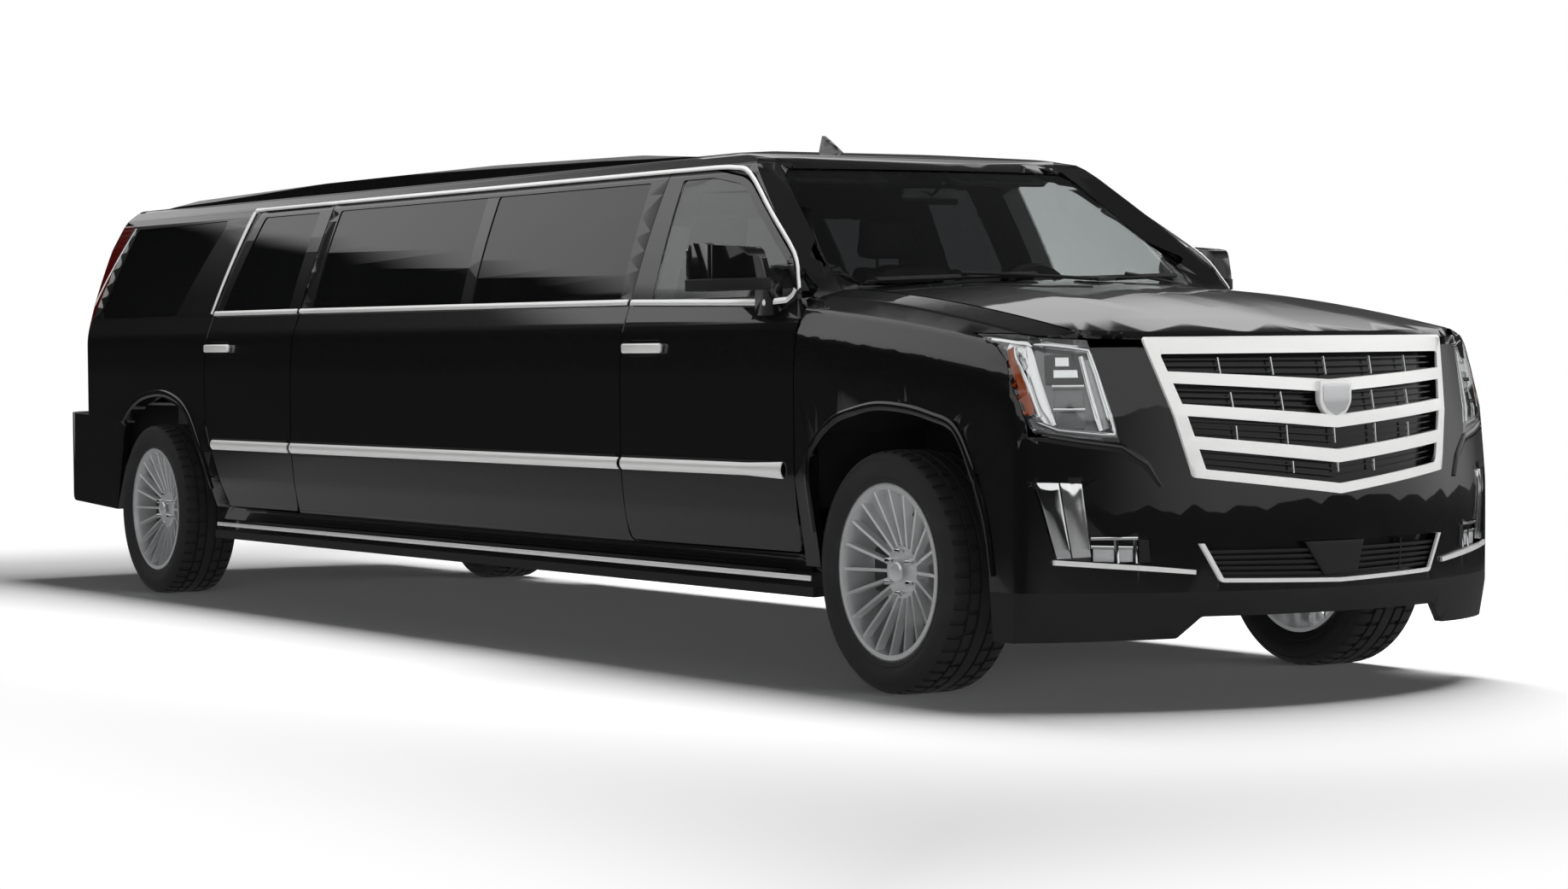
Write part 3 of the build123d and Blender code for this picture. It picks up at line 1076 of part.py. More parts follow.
PIPE_R = 28.0
PIPE_Y = -230.0
PIPE_Z = CROSS_Z[0] - PIPE_R - FIT
PIPE_FRONT = ENGINE_X[0] + 60
MUFFLER_X = (REAR_AXLE - 880, REAR_AXLE - 380)
with BuildPart() as exhaust:
    add(rod(Plane((REAR_AXLE - 1190, PIPE_Y, PIPE_Z), z_dir=(1, 0, 0)), PIPE_R,
            PIPE_FRONT - REAR_AXLE + 1190))
    add(block(*MUFFLER_X, PIPE_Y - 100, PIPE_Y + 100, PIPE_Z - 60, PIPE_Z + 90))
exhaust.part.label = "exhaust"
export_step(exhaust.part, "parts/exhaust.step")

with BuildPart() as fuel_tank:
    add(block(FRONT_AXLE - 4080, FRONT_AXLE - 2760, PIPE_Y + PIPE_R + 40, RAIL_IN - FIT,
              FRAME_TOP - 150, FRAME_TOP))
fuel_tank.part.label = "fuel_tank"
export_step(fuel_tank.part, "parts/fuel_tank.step")

# ---------------------------------------------------------------- running boards
BOARD_TOP_Z = 335.0
BOARD_T = 34.0
BOARD_OUT = HALF_WIDTH + 18
BOARD_IN = HALF_WIDTH - 100
BOARD_X = (REAR_AXLE + 788, FRONT_AXLE - 417)
with BuildPart() as running_boards:
    with BuildSketch(Plane.XY.offset(BOARD_TOP_Z - BOARD_T)):
        with BuildLine():
            Polyline((BOARD_X[0], BOARD_OUT), (BOARD_X[0] + 40, BOARD_IN),
                     (BOARD_X[1] - 50, BOARD_IN), (BOARD_X[1], HALF_WIDTH),
                     (BOARD_X[1], BOARD_OUT), close=True)
        make_face()
    extrude(amount=BOARD_T)
    add(block(BOARD_X[0] + 40, BOARD_X[1] - 100, BOARD_IN - 20, BOARD_IN + 18,
              BOARD_TOP_Z - BOARD_T, SILL_Z))
    mirror(about=Plane.XZ)
running_boards.part.label = "running_boards"
export_step(running_boards.part, "parts/running_boards.step")

# ---------------------------------------------------------------- cabin
print("cabin")
DASH_HALF = HALF_WIDTH - 230
DASH = [(FLOOR_FRONT - PANEL_T, 780, 0), (FLOOR_FRONT - PANEL_T, 1180, 0)] + front(
    (-800, 1270, 80), (-975, 1240, 40), (-990, 1080, 40), (-880, 790, 60))
DRIVER_Y = 400.0
WHEEL_AT = (FRONT_AXLE - 1140, DRIVER_Y, 1270.0)
WHEEL_TILT = (-1.0, 0.0, 0.40)      # steering wheel axis, towards the driver
WHEEL_RING_R = 180.0
WHEEL_GRIP_R = 14.0
COLUMN_R = 26.0
with BuildPart() as dashboard:
    add(side_prism(DASH, -DASH_HALF, DASH_HALF))
    ring_plane = Plane(WHEEL_AT, x_dir=(0, 1, 0), z_dir=WHEEL_TILT)
    with BuildSketch(ring_plane):
        Circle(WHEEL_RING_R + WHEEL_GRIP_R)
        Circle(WHEEL_RING_R - WHEEL_GRIP_R, mode=Mode.SUBTRACT)
        Rectangle(2 * WHEEL_RING_R, 40)
        with Locations((0, -WHEEL_RING_R / 2)):
            Rectangle(50, WHEEL_RING_R)
        Circle(60)
    extrude(amount=WHEEL_GRIP_R, both=True)
    add(rod(Plane(WHEEL_AT, z_dir=[-a for a in WHEEL_TILT]), COLUMN_R, 230))
dashboard.part.label = "dashboard"
export_step(dashboard.part, "parts/dashboard.step")

SEAT_HALF = 260.0
FRONT_SEAT = front((-1500, FLOOR_Z, 0), (-1500, 790, 0), (-1430, 810, 30), (-1430, 950, 60),
                   (-1850, 915, 60), (-2000, 1480, 50), (-2110, 1480, 50), (-1990, 790, 60),
                   (-1900, FLOOR_Z, 0))
HEADREST = front((-2005, 1479, 0), (-2020, 1660, 40), (-2110, 1660, 40), (-2105, 1479, 0))
with BuildPart() as front_seats:
    for y in (DRIVER_Y, -DRIVER_Y):
        add(side_prism(FRONT_SEAT, y - SEAT_HALF, y + SEAT_HALF))
        add(side_prism(HEADREST, y - SEAT_HALF / 2, y + SEAT_HALF / 2))
front_seats.part.label = "front_seats"
export_step(front_seats.part, "parts/front_seats.step")

PARTITION_X = FRONT_AXLE - 2230
with BuildPart() as partition:
    wall = front_prism(mirrored([(FLOOR_HALF, FLOOR_Z, 0), (HALF_WIDTH - 130, FLOOR_Z + 80, 0),
                                 (HALF_WIDTH - 110, 1180, 0), (HALF_WIDTH - 160, BELT_Z, 0),
                                 (HALF_WIDTH - 340, WINDOW_TOP_Z, 60)]),
                       PARTITION_X, PARTITION_X + PANEL_T)
    add(wall)
    add(front_prism(mirrored([(HALF_WIDTH - 420, 1200, 40), (HALF_WIDTH - 460, 1660, 40)]),
                    PARTITION_X - 1, PARTITION_X + PANEL_T + 1), mode=Mode.SUBTRACT)
partition.part.label = "partition"
export_step(partition.part, "parts/partition.step")

# Side bench along the right wall, seen from the front (y, z, radius).
BENCH_SIDE = [(-440, FLOOR_Z, 0), (-410, 790, 60), (-770, 770, 60), (-800, 1240, 40),
              (120 - HALF_WIDTH, 1240, 0), (95 - HALF_WIDTH, 1040, 0), (95 - HALF_WIDTH, 640, 0),
              (140 - HALF_WIDTH, FLOOR_Z, 0)]
BENCH_X = (REAR_AXLE + 1720, PARTITION_X - 60)
REAR_BENCH = rear((880, FLOOR_Z, 0), (910, 790, 60), (440, 765, 60), (310, 1330, 50),
                  (170, 1330, 50), (300, REAR_FLOOR_Z, 0)) + [
                      (STEP_X[1], REAR_FLOOR_Z, 0), (STEP_X[0], FLOOR_Z, 0)]
with BuildPart() as lounge_seats:
    add(front_prism(BENCH_SIDE, *BENCH_X))
    add(side_prism(REAR_BENCH, 20 - WHEEL_TUB, WHEEL_TUB - 20))
lounge_seats.part.label = "lounge_seats"
export_step(lounge_seats.part, "parts/lounge_seats.step")
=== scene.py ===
"""Looks of the stretch limousine: finishes, trim, lamps, wheels and cabin on the fixed frame."""

import json
import math

import bpy
from mathutils import Matrix, Vector
from mathutils.bvhtree import BVHTree

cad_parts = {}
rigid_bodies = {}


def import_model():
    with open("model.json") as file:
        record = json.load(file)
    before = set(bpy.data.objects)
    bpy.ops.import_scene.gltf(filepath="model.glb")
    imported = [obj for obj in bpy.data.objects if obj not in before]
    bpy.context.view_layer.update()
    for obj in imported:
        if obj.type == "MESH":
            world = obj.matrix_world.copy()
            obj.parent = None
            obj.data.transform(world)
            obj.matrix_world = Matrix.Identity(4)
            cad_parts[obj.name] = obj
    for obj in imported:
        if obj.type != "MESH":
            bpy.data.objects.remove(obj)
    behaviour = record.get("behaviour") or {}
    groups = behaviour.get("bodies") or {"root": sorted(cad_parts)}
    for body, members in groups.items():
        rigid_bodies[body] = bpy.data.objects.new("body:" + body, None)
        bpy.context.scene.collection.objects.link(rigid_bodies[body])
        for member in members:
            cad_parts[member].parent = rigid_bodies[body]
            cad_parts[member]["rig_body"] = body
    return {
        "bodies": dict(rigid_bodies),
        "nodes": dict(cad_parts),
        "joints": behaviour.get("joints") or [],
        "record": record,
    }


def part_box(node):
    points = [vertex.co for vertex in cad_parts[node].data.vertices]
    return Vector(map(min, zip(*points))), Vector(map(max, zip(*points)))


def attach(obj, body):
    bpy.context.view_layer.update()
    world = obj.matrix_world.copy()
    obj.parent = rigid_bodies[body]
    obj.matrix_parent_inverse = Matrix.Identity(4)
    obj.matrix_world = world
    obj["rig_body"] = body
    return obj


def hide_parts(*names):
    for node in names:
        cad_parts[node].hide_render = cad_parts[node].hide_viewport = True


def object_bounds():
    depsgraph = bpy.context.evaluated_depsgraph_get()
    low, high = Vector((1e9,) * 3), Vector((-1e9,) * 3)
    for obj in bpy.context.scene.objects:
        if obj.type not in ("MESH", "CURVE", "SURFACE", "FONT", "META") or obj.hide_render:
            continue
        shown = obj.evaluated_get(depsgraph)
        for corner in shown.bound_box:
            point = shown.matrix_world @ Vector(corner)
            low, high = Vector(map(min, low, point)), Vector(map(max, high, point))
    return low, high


bl_info = {
    "name": "Stretch limousine dressing",
    "version": (1, 0, 0),
    "blender": (4, 5, 0),
    "location": "View3D > Sidebar > Limousine",
    "description": "Paint, glass, trim, lamps, wheels and seats for the limousine's frame",
    "category": "Object",
}

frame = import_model()
CAD_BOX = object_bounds()
NODES = frame["nodes"]

# Places shared by many pieces, in metres; x forward, y left, z up.
FRONT_AXLE = 3.270
REAR_AXLE = -3.080
AXLE_Z = 0.405
HALF_WIDTH = 1.000
SIDES = (("left", 1.0), ("right", -1.0))


# ---------------------------------------------------------------- shader maths
class Value:
    """A node's output socket; arithmetic on it adds Math nodes."""

    def __init__(self, tree, socket):
        self.tree = tree
        self.socket = socket

    def math(self, operation, *others):
        """Math node of this value and others."""
        node = self.tree.nodes.new("ShaderNodeMath")
        node.operation = operation
        for slot, value in zip(node.inputs, (self, *others)):
            if isinstance(value, Value):
                self.tree.links.new(value.socket, slot)
            else:
                slot.default_value = value
        return Value(self.tree, node.outputs[0])

    def __add__(self, other):
        return self.math("ADD", other)

    def __sub__(self, other):
        return self.math("SUBTRACT", other)

    def __mul__(self, other):
        return self.math("MULTIPLY", other)

    def __truediv__(self, other):
        return self.math("DIVIDE", other)

    def __rsub__(self, other):
        return (self * -1.0) + other

    __radd__ = __add__
    __rmul__ = __mul__

    def held(self, low=0.0, high=1.0):
        """This value kept between two limits."""
        return self.math("MAXIMUM", low).math("MINIMUM", high)

    def step(self, start, end):
        """Smooth rise from nothing to one between two values."""
        t = ((self - start) / (end - start)).held()
        return t * t * (3.0 - 2.0 * t)


class Graph:
    """Node graph of a material or of the world, built from calls."""

    def __init__(self, tree):
        self.tree = tree
        tree.nodes.clear()

    def node(self, kind, settings=None, sockets=None):
        """One node: its settings first, then the values or links of its sockets."""
        node = self.tree.nodes.new("ShaderNode" + kind)
        for key, value in (settings or {}).items():
            setattr(node, key, value)
        for key, value in (sockets or {}).items():
            if isinstance(value, Value):
                self.tree.links.new(value.socket, node.inputs[key])
            else:
                node.inputs[key].default_value = value
        return node

    def add(self, kind, settings=None, sockets=None, out=0):
        """One node's output."""
        return Value(self.tree, self.node(kind, settings, sockets).outputs[out])

    def place(self, stretch=(1.0, 1.0, 1.0)):
        """Object coordinates, stretched along the axes."""
        spot = self.add("TexCoord", out=3)
        return self.add("Mapping", sockets={"Vector": spot, "Scale": stretch})

    def noise(self, scale, detail=2.0, stretch=(1.0, 1.0, 1.0), roughness=0.5):
        """Noise between nothing and one, on Object coordinates."""
        return self.add("TexNoise", sockets={
            "Vector": self.place(stretch), "Scale": scale, "Detail": detail,
            "Roughness": roughness})

    def axis(self, name):
        """One Object coordinate."""
        split = self.node("SeparateXYZ", sockets={"Vector": self.add("TexCoord", out=3)})
        return Value(self.tree, split.outputs[name])

    def blend(self, factor, low, high):
        """Colour between two colours."""
        return self.add("Mix", {"data_type": "RGBA"},
                        {0: factor, 6: low if isinstance(low, Value) else (*low, 1.0),
                         7: high if isinstance(high, Value) else (*high, 1.0)}, out=2)

    def bump(self, height, strength, distance):
        """Normal from a height."""
        return self.add("Bump", sockets={"Height": height, "Strength": strength,
                                         "Distance": distance})

    def finish(self, shader, kind="Material"):
        """Shader to the output."""
        self.node("Output" + kind, sockets={"Surface": shader})

    def surface(self, sockets):
        """Principled surface to the output."""
        self.finish(self.add("BsdfPrincipled", sockets=sockets))

    def rays(self):
        """Light Path's outputs by name."""
        return {o.name: Value(self.tree, o) for o in self.node("LightPath").outputs}


FINISHES = {}


def new_finish(name):
    """Empty material and its graph."""
    material = bpy.data.materials.new(name)
    material.use_nodes = True
    FINISHES[name] = material
    return Graph(material.node_tree)


def shade(colour, factor, plus=0.0):
    """Colour made darker or lighter."""
    return [c * factor + plus for c in colour]


def painted(name, colour, gloss):
    """Lacquered paint: fine flake under a clear coat, a little dust low down."""
    g = new_finish(name)
    speck = g.noise(900.0, 1.0)
    cloud = g.noise(1.3, 3.0)
    dust = (0.75 - g.axis("Z")).step(0.15, 0.6) * g.noise(9.0, 4.0) * 0.35
    deep = g.blend(cloud * 0.6, colour, shade(colour, 0.6))
    flaked = g.blend(speck.step(0.62, 0.75) * 0.5, deep, shade(colour, 1.0, 0.004))
    base = g.blend(dust * 0.25, flaked, (0.012, 0.0115, 0.011))
    ripple = g.noise(55.0, 2.0)
    g.surface({
        "Base Color": base, "Roughness": (gloss + speck * 0.1 + dust * 0.2).held(),
        "Coat Weight": (1.0 - dust * 0.3).held(), "Coat Roughness": 0.025, "Coat IOR": 1.5,
        "Specular IOR Level": 0.1, "Normal": g.bump(ripple, 0.06, 0.0006)})


def bright_metal(name, colour, rough, metallic=1.0, grain=(1.0, 1.0, 1.0), depth=0.0001,
                 mottle=0.2):
    """Plated or polished metal with faint grain, tarnish and smudges."""
    g = new_finish(name)
    smudge = g.noise(7.0, 5.0)
    lines = g.noise(420.0, 2.0, grain)
    tone = g.blend(smudge.step(0.45, 0.8) * mottle, colour, shade(colour, 0.82))
    g.surface({
        "Base Color": tone, "Metallic": metallic,
        "Roughness": (rough + smudge * 0.06 + lines * 0.05 - 0.05).held(),
        "Normal": g.bump(lines, 0.08, depth)})


def glazing(name, tint, through=1.0, shine=0.5):
    """Tinted glass with faint patches of dusty haze."""
    g = new_finish(name)
    haze = g.noise(3.0, 5.0).step(0.5, 0.85)
    g.surface({
        "Base Color": g.blend(haze * 0.1, tint, shade(tint, 0.9)),
        "Roughness": (haze * 0.012).held(), "IOR": 1.5,
        "Transmission Weight": through, "Specular IOR Level": shine})


def moulded(name, colour, rough, grain=650.0, depth=0.0004, sheen=0.0):
    """Moulded plastic or rubber with a fine pebble grain and worn patches."""
    g = new_finish(name)
    pebble = g.noise(grain, 3.0)
    wear = g.noise(6.0, 4.0)
    tone = g.blend(wear.step(0.35, 0.75) * 0.5, shade(colour, 0.75), shade(colour, 1.25))
    g.surface({
        "Base Color": tone, "Roughness": (rough + wear * 0.12 - 0.06).held(),
        "Sheen Weight": sheen, "Specular IOR Level": 0.35,
        "Normal": g.bump(pebble, 0.35, depth)})


def lens(name, colour, rough, through):
    """Moulded lamp lens with fine vertical optics."""
    g = new_finish(name)
    flutes = (g.axis("Y") * 520.0).math("SINE")
    cloud = g.noise(14.0, 2.0)
    g.surface({
        "Base Color": g.blend(cloud * 0.3, colour, shade(colour, 0.8)),
        "Roughness": (rough + cloud * 0.04).held(), "IOR": 1.45,
        "Transmission Weight": through, "Normal": g.bump(flutes, 0.12, 0.0004)})


def woven(name, colour, pitch):
    """Cloth or carpet with a pile."""
    g = new_finish(name)
    pile = g.noise(pitch, 4.0)
    patch = g.noise(5.0, 3.0)
    tone = g.blend(pile, shade(colour, 0.55), colour)
    worn = g.blend(patch.step(0.4, 0.8) * 0.4, tone, shade(colour, 1.3))
    g.surface({"Base Color": worn, "Roughness": 0.85, "Sheen Weight": 0.4,
               "Normal": g.bump(pile, 0.7, 0.002)})


def hide(name, colour):
    """Leather: pebbled grain, soft creases and a dull sheen."""
    g = new_finish(name)
    cells = g.add("TexVoronoi", {"feature": "DISTANCE_TO_EDGE"},
                  {"Vector": g.place(), "Scale": 420.0})
    crease = g.noise(22.0, 5.0)
    tone = g.blend(crease.step(0.35, 0.7) * 0.6, colour, shade(colour, 0.7))
    g.surface({
        "Base Color": tone, "Roughness": (0.42 + crease * 0.16).held(),
        "Specular IOR Level": 0.45,
        "Normal": g.bump(cells.held(0.0, 0.12) * 4.0 + crease * 0.4, 0.4, 0.0006)})


def rubber(name, colour):
    """Tyre rubber: matt, with a dusty bloom and fine moulding rings."""
    g = new_finish(name)
    bloom = g.noise(11.0, 5.0)
    fine = g.noise(260.0, 3.0)
    tone = g.blend(bloom.step(0.4, 0.8) * 0.5, colour, shade(colour, 1.9, 0.004))
    g.surface({"Base Color": tone, "Roughness": (0.62 + bloom * 0.25).held(),
               "Specular IOR Level": 0.35, "Normal": g.bump(fine, 0.25, 0.0006)})


def rough_metal(name, colour, rust, rough=0.55, metallic=0.6):
    """Underbody metal with patchy dirt and a little rust."""
    g = new_finish(name)
    patch = g.noise(8.0, 6.0, roughness=0.62)
    grit = g.noise(180.0, 3.0)
    tone = g.blend(patch.step(0.45, 0.75), colour, rust)
    g.surface({
        "Base Color": tone, "Metallic": (metallic - patch.step(0.5, 0.8) * 0.4).held(),
        "Roughness": (rough + patch * 0.3).held(), "Normal": g.bump(grit, 0.4, 0.0008)})


def faint_painted_glow(name, colour, level):
    """Pale strip with a faint painted glow: emission that stands in for light, not a lit lamp."""
    g = new_finish(name)
    bands = g.noise(60.0, 2.0)
    g.surface({"Base Color": g.blend(bands, colour, shade(colour, 0.85)), "Roughness": 0.25,
               "Emission Color": g.blend(bands, colour, shade(colour, 0.8)),
               "Emission Strength": level})


# ---------------------------------------------------------------- working on meshes
MERGE = 0.00002              # points closer than this become one


def mode(name):
    """Object or edit mode."""
    bpy.ops.object.mode_set(mode=name)


def free_hands():
    """Object mode with nothing selected."""
    if bpy.context.object and bpy.context.object.mode != "OBJECT":
        mode("OBJECT")
    bpy.ops.object.select_all(action="DESELECT")


def hold(piece):
    """Select one piece alone and make it active."""
    free_hands()
    piece.hide_set(False)
    piece.select_set(True)
    bpy.context.view_layer.objects.active = piece


def keep_place():
    """Put the active piece's place, turn and size into its mesh."""
    bpy.ops.object.transform_apply(location=True, rotation=True, scale=True)


def pick_faces(piece, test):
    """Select in edit mode the faces whose centre and normal pass a test; leaves edit mode on."""
    hold(piece)
    mode("EDIT")
    bpy.ops.mesh.select_mode(type="FACE")
    bpy.ops.mesh.select_all(action="DESELECT")
    mode("OBJECT")
    for face in piece.data.polygons:
        face.select = bool(test(face.center, face.normal))
    mode("EDIT")


def pick_all(piece):
    """Edit mode with everything selected."""
    hold(piece)
    mode("EDIT")
    bpy.ops.mesh.select_mode(type="VERT")
    bpy.ops.mesh.select_all(action="SELECT")


def use_modifier(piece, kind, **settings):
    """Add a modifier, set it and apply it."""
    hold(piece)
    modifier = piece.modifiers.new(kind.title(), kind)
    for key, value in settings.items():
        setattr(modifier, key, value)
    bpy.ops.object.modifier_apply(modifier=modifier.name)


def right_way_out(piece):
    """Merge doubles and turn the faces outwards."""
    pick_all(piece)
    bpy.ops.mesh.remove_doubles(threshold=MERGE)
    bpy.ops.mesh.normals_make_consistent(inside=False)
    mode("OBJECT")


def settle(piece, name, finish, body="chassis", stands_for=(), angle=35.0):
    """Finish a piece: place in its mesh, smooth, named, with its material and body; the nodes it
    stands for are hidden.
    """
    hold(piece)
    keep_place()
    bpy.ops.object.shade_smooth_by_angle(angle=math.radians(angle))
    piece.name = name
    piece.data.name = name
    piece.data.materials.clear()
    piece.data.materials.append(FINISHES[finish])
    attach(piece, body)
    if stands_for:
        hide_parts(*stands_for)


def copy_of(node):
    """Merged copy of a frame node, to be worked on."""
    piece = bpy.data.objects.new(node + "_copy", NODES[node].data.copy())
    bpy.context.scene.collection.objects.link(piece)
    piece.data.materials.clear()
    pick_all(piece)
    bpy.ops.mesh.remove_doubles(threshold=MERGE)
    mode("OBJECT")
    return piece


def dressed_copy(node, name, finish, angle=35.0, edge=0.0):
    """Smooth-shaded copy of a node that stands for it."""
    piece = copy_of(node)
    if edge:
        use_modifier(piece, "BEVEL", width=edge, segments=2, limit_method="ANGLE",
                     angle_limit=math.radians(40), harden_normals=False)
    settle(piece, name, finish, NODES[node]["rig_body"], (node,), angle)
    use_modifier(piece, "WEIGHTED_NORMAL", mode="FACE_AREA", weight=80, keep_sharp=True)


# ---------------------------------------------------------------- laying trim on the skin
SKIN = {}


def skin_tree(nodes):
    """Search tree of some frame nodes' faces."""
    key = tuple(nodes)
    if key not in SKIN:
        points, faces = [], []
        for node in nodes:
            mesh = NODES[node].data
            base = len(points)
            points += [v.co.copy() for v in mesh.vertices]
            faces += [[base + i for i in p.vertices] for p in mesh.polygons]
        SKIN[key] = BVHTree.FromPolygons(points, faces)
    return SKIN[key]


FLANK_NODES = {
    side: [f"{stem}_{side}" for stem in ("body_side", "front_door", "rear_door",
                                         "front_door_glass", "rear_door_glass")]
    + ["side_windows", "front_fenders", "front_bumper", "front_lamps", "rear_bumper"]
    for side in ("left", "right")}
FEEL_Y = 1.012               # just outside the body
WINDOW_Z = 1.335             # height where the side glass starts
PILLAR_X = 1.420             # a pillar there has the same section as the door's frame
FEEL_REACH = 2.0             # how far the skin is searched for
PROBE = 0.012                # how far round a point the skin is felt for gaps
GAP_DEPTH = 0.0035           # a gap deeper than this is bridged
PATCH_CELLS = 8


def feel(tree, start, way, spread):
    """Distance from a start point to the skin, bridging narrow gaps."""
    best = None
    for a, b in ((0, 0), (1, 0), (-1, 0), (0, 1), (0, -1)):
        probe = start + spread[0] * a * PROBE + spread[1] * b * PROBE
        distance = tree.ray_cast(probe, way, FEEL_REACH)[3]
        if distance is not None and (best is None or distance < best - GAP_DEPTH):
            best = distance
    return best


def on_flank(x, z, sign, proud=0.0):
    """Point on the body side at a height and a station, on one side."""
    side = "left" if sign > 0 else "right"
    start = Vector((min(x, PILLAR_X) if z > WINDOW_Z else x, sign * FEEL_Y, z))
    reach = feel(skin_tree(FLANK_NODES[side]), start, Vector((0, -sign, 0)),
                 (Vector((1, 0, 0)), Vector((0, 0, 1))))
    y = FEEL_Y - reach if reach is not None else HALF_WIDTH
    return Vector((x, sign * (y + proud), z))


def flank(sign, by=0.0):
    """Body side as a surface for trim, raised by an amount."""
    return lambda x, z, lift: on_flank(x, z, sign, by + lift)


def raised(face, by):
    """Surface raised by an amount over another."""
    return lambda u, v, lift: face(u, v, lift + by)


def along(path, step):
    """Points spaced evenly along a path, with its corners kept."""
    out = []
    for a, b in zip(path, path[1:]):
        count = max(1, int(round(math.dist(a[:2], b[:2]) / step)))
        out += [tuple(p + (q - p) * i / count for p, q in zip(a, b)) for i in range(count)]
    out.append(tuple(path[-1]))
    return out


def curved(path, steps=6):
    """Path through the same points with its bends smoothed."""
    out = []
    for i in range(len(path) - 1):
        a, b = path[max(i - 1, 0)], path[i]
        c, d = path[i + 1], path[min(i + 2, len(path) - 1)]
        for k in range(steps):
            t = k / steps
            out.append(tuple(
                0.5 * (2 * q + (r - p) * t + (2 * p - 5 * q + 4 * r - s) * t * t
                       + (3 * q - p - 3 * r + s) * t ** 3)
                for p, q, r, s in zip(a, b, c, d)))
    out.append(tuple(path[-1]))
    return out


def ribbon(path, width, crown, lay, thick=0.004, step=0.06, across=4):
    """Strip laid on the skin along a (u, v) path; a third column scales its width."""
    rows = along(path, step)
    last = len(rows) - 1
    bpy.ops.mesh.primitive_grid_add(x_subdivisions=across, y_subdivisions=last, size=1.0)
    piece = bpy.context.object
    for j, (u, v, *scale) in enumerate(rows):
        before, after = rows[max(j - 1, 0)], rows[min(j + 1, last)]
        tu, tv = after[0] - before[0], after[1] - before[1]
        size = math.hypot(tu, tv) or 1.0
        wide = width * (scale[0] if scale else 1.0)
        nu, nv = -tv / size * wide, tu / size * wide
        for i in range(across + 1):
            s = i / across - 0.5
            lift = crown * (1.0 - (2.0 * s) ** 2)
            piece.data.vertices[j * (across + 1) + i].co = lay(u + nu * s, v + nv * s, lift)
    return thicken(piece, thick)


def patch(corners, lay, lift=0.0, thick=0.003, edge=0.0008, crown=0.0):
    """Four-cornered sheet on a surface; corners are (u, v) round the sheet."""
    free_hands()
    bpy.ops.mesh.primitive_grid_add(x_subdivisions=PATCH_CELLS, y_subdivisions=PATCH_CELLS,
                                    size=1.0)
    piece = bpy.context.object
    a, b, c, d = corners
    for j in range(PATCH_CELLS + 1):
        for i in range(PATCH_CELLS + 1):
            s, t = i / PATCH_CELLS, j / PATCH_CELLS
            u, v = ((a[k] * (1 - s) + b[k] * s) * (1 - t) + (d[k] * (1 - s) + c[k] * s) * t
                    for k in (0, 1))
            rise = crown * (1 - (2 * s - 1) ** 2) * (1 - (2 * t - 1) ** 2)
            piece.data.vertices[j * (PATCH_CELLS + 1) + i].co = lay(u, v, lift + rise)
    return thicken(piece, thick, edge)


def square(low_u, low_v, high_u, high_v):
    """Corners of an upright four-sided patch."""
    return ((low_u, low_v), (high_u, low_v), (high_u, high_v), (low_u, high_v))


def thicken(piece, thick, edge=0.0):
    """Give a laid sheet a body behind it."""
    use_modifier(piece, "SOLIDIFY", thickness=thick, offset=0.0)
    right_way_out(piece)
    if edge:
        use_modifier(piece, "BEVEL", width=edge, segments=2, limit_method="ANGLE",
                     angle_limit=math.radians(50))
    return piece


def drawn(rows, kind):
    """New curve with one line through some points."""
    free_hands()
    bpy.ops.curve.primitive_bezier_curve_add(location=(0, 0, 0))
    curve = bpy.context.object.data
    curve.splines.clear()
    line = curve.splines.new(kind)
    line.points.add(len(rows) - 1)
    for point, row in zip(line.points, rows):
        point.co = (*row, 1.0)
    return curve, line


def plate(rows, low, high, view, edge):
    """Flat plate with a drawn outline; view is front (y, z) or top (x, y)."""
    curve, line = drawn([(u, v, 0.0) for u, v in rows], "POLY")
    line.use_cyclic_u = True
    curve.dimensions = "2D"
    curve.fill_mode = "BOTH"
    curve.extrude = (high - low) / 2 - edge
    curve.bevel_depth = edge
    curve.bevel_resolution = 2
    curve.offset = -edge
    bpy.ops.object.convert(target="MESH")
    piece = bpy.context.object
    middle = (low + high) / 2
    piece.matrix_world = {
        "front": Matrix(((0, 0, 1, middle), (1, 0, 0, 0), (0, 1, 0, 0), (0, 0, 0, 1))),
        "top": Matrix.Translation((0, 0, middle))}[view]
    hold(piece)
    keep_place()
    right_way_out(piece)
    return piece


def tube(points, radius):
    """Round bar along points."""
    curve, line = drawn(points, "NURBS")
    line.order_u = 3
    line.use_endpoint_u = True
    curve.dimensions = "3D"
    curve.bevel_depth = radius
    curve.bevel_resolution = 3
    curve.use_fill_caps = True
    bpy.ops.object.convert(target="MESH")
    right_way_out(bpy.context.object)
    return bpy.context.object


def rounded_box(low, high, edge, segments=3, taper=None):
    """Box between two corners with rounded edges; taper scales its top face."""
    free_hands()
    centre = [(a + b) / 2 for a, b in zip(low, high)]
    bpy.ops.mesh.primitive_cube_add(size=1.0, location=centre)
    piece = bpy.context.object
    piece.scale = [abs(b - a) for a, b in zip(low, high)]
    keep_place()
    if taper:
        top = max(v.co.z for v in piece.data.vertices)
        pick_faces(piece, lambda c, n: c.z > top - 1e-5)
        bpy.ops.transform.resize(value=(taper[0], taper[1], 1.0),
                                 center_override=(centre[0], centre[1], top))
        mode("OBJECT")
    use_modifier(piece, "BEVEL", width=edge, segments=segments)
    return piece


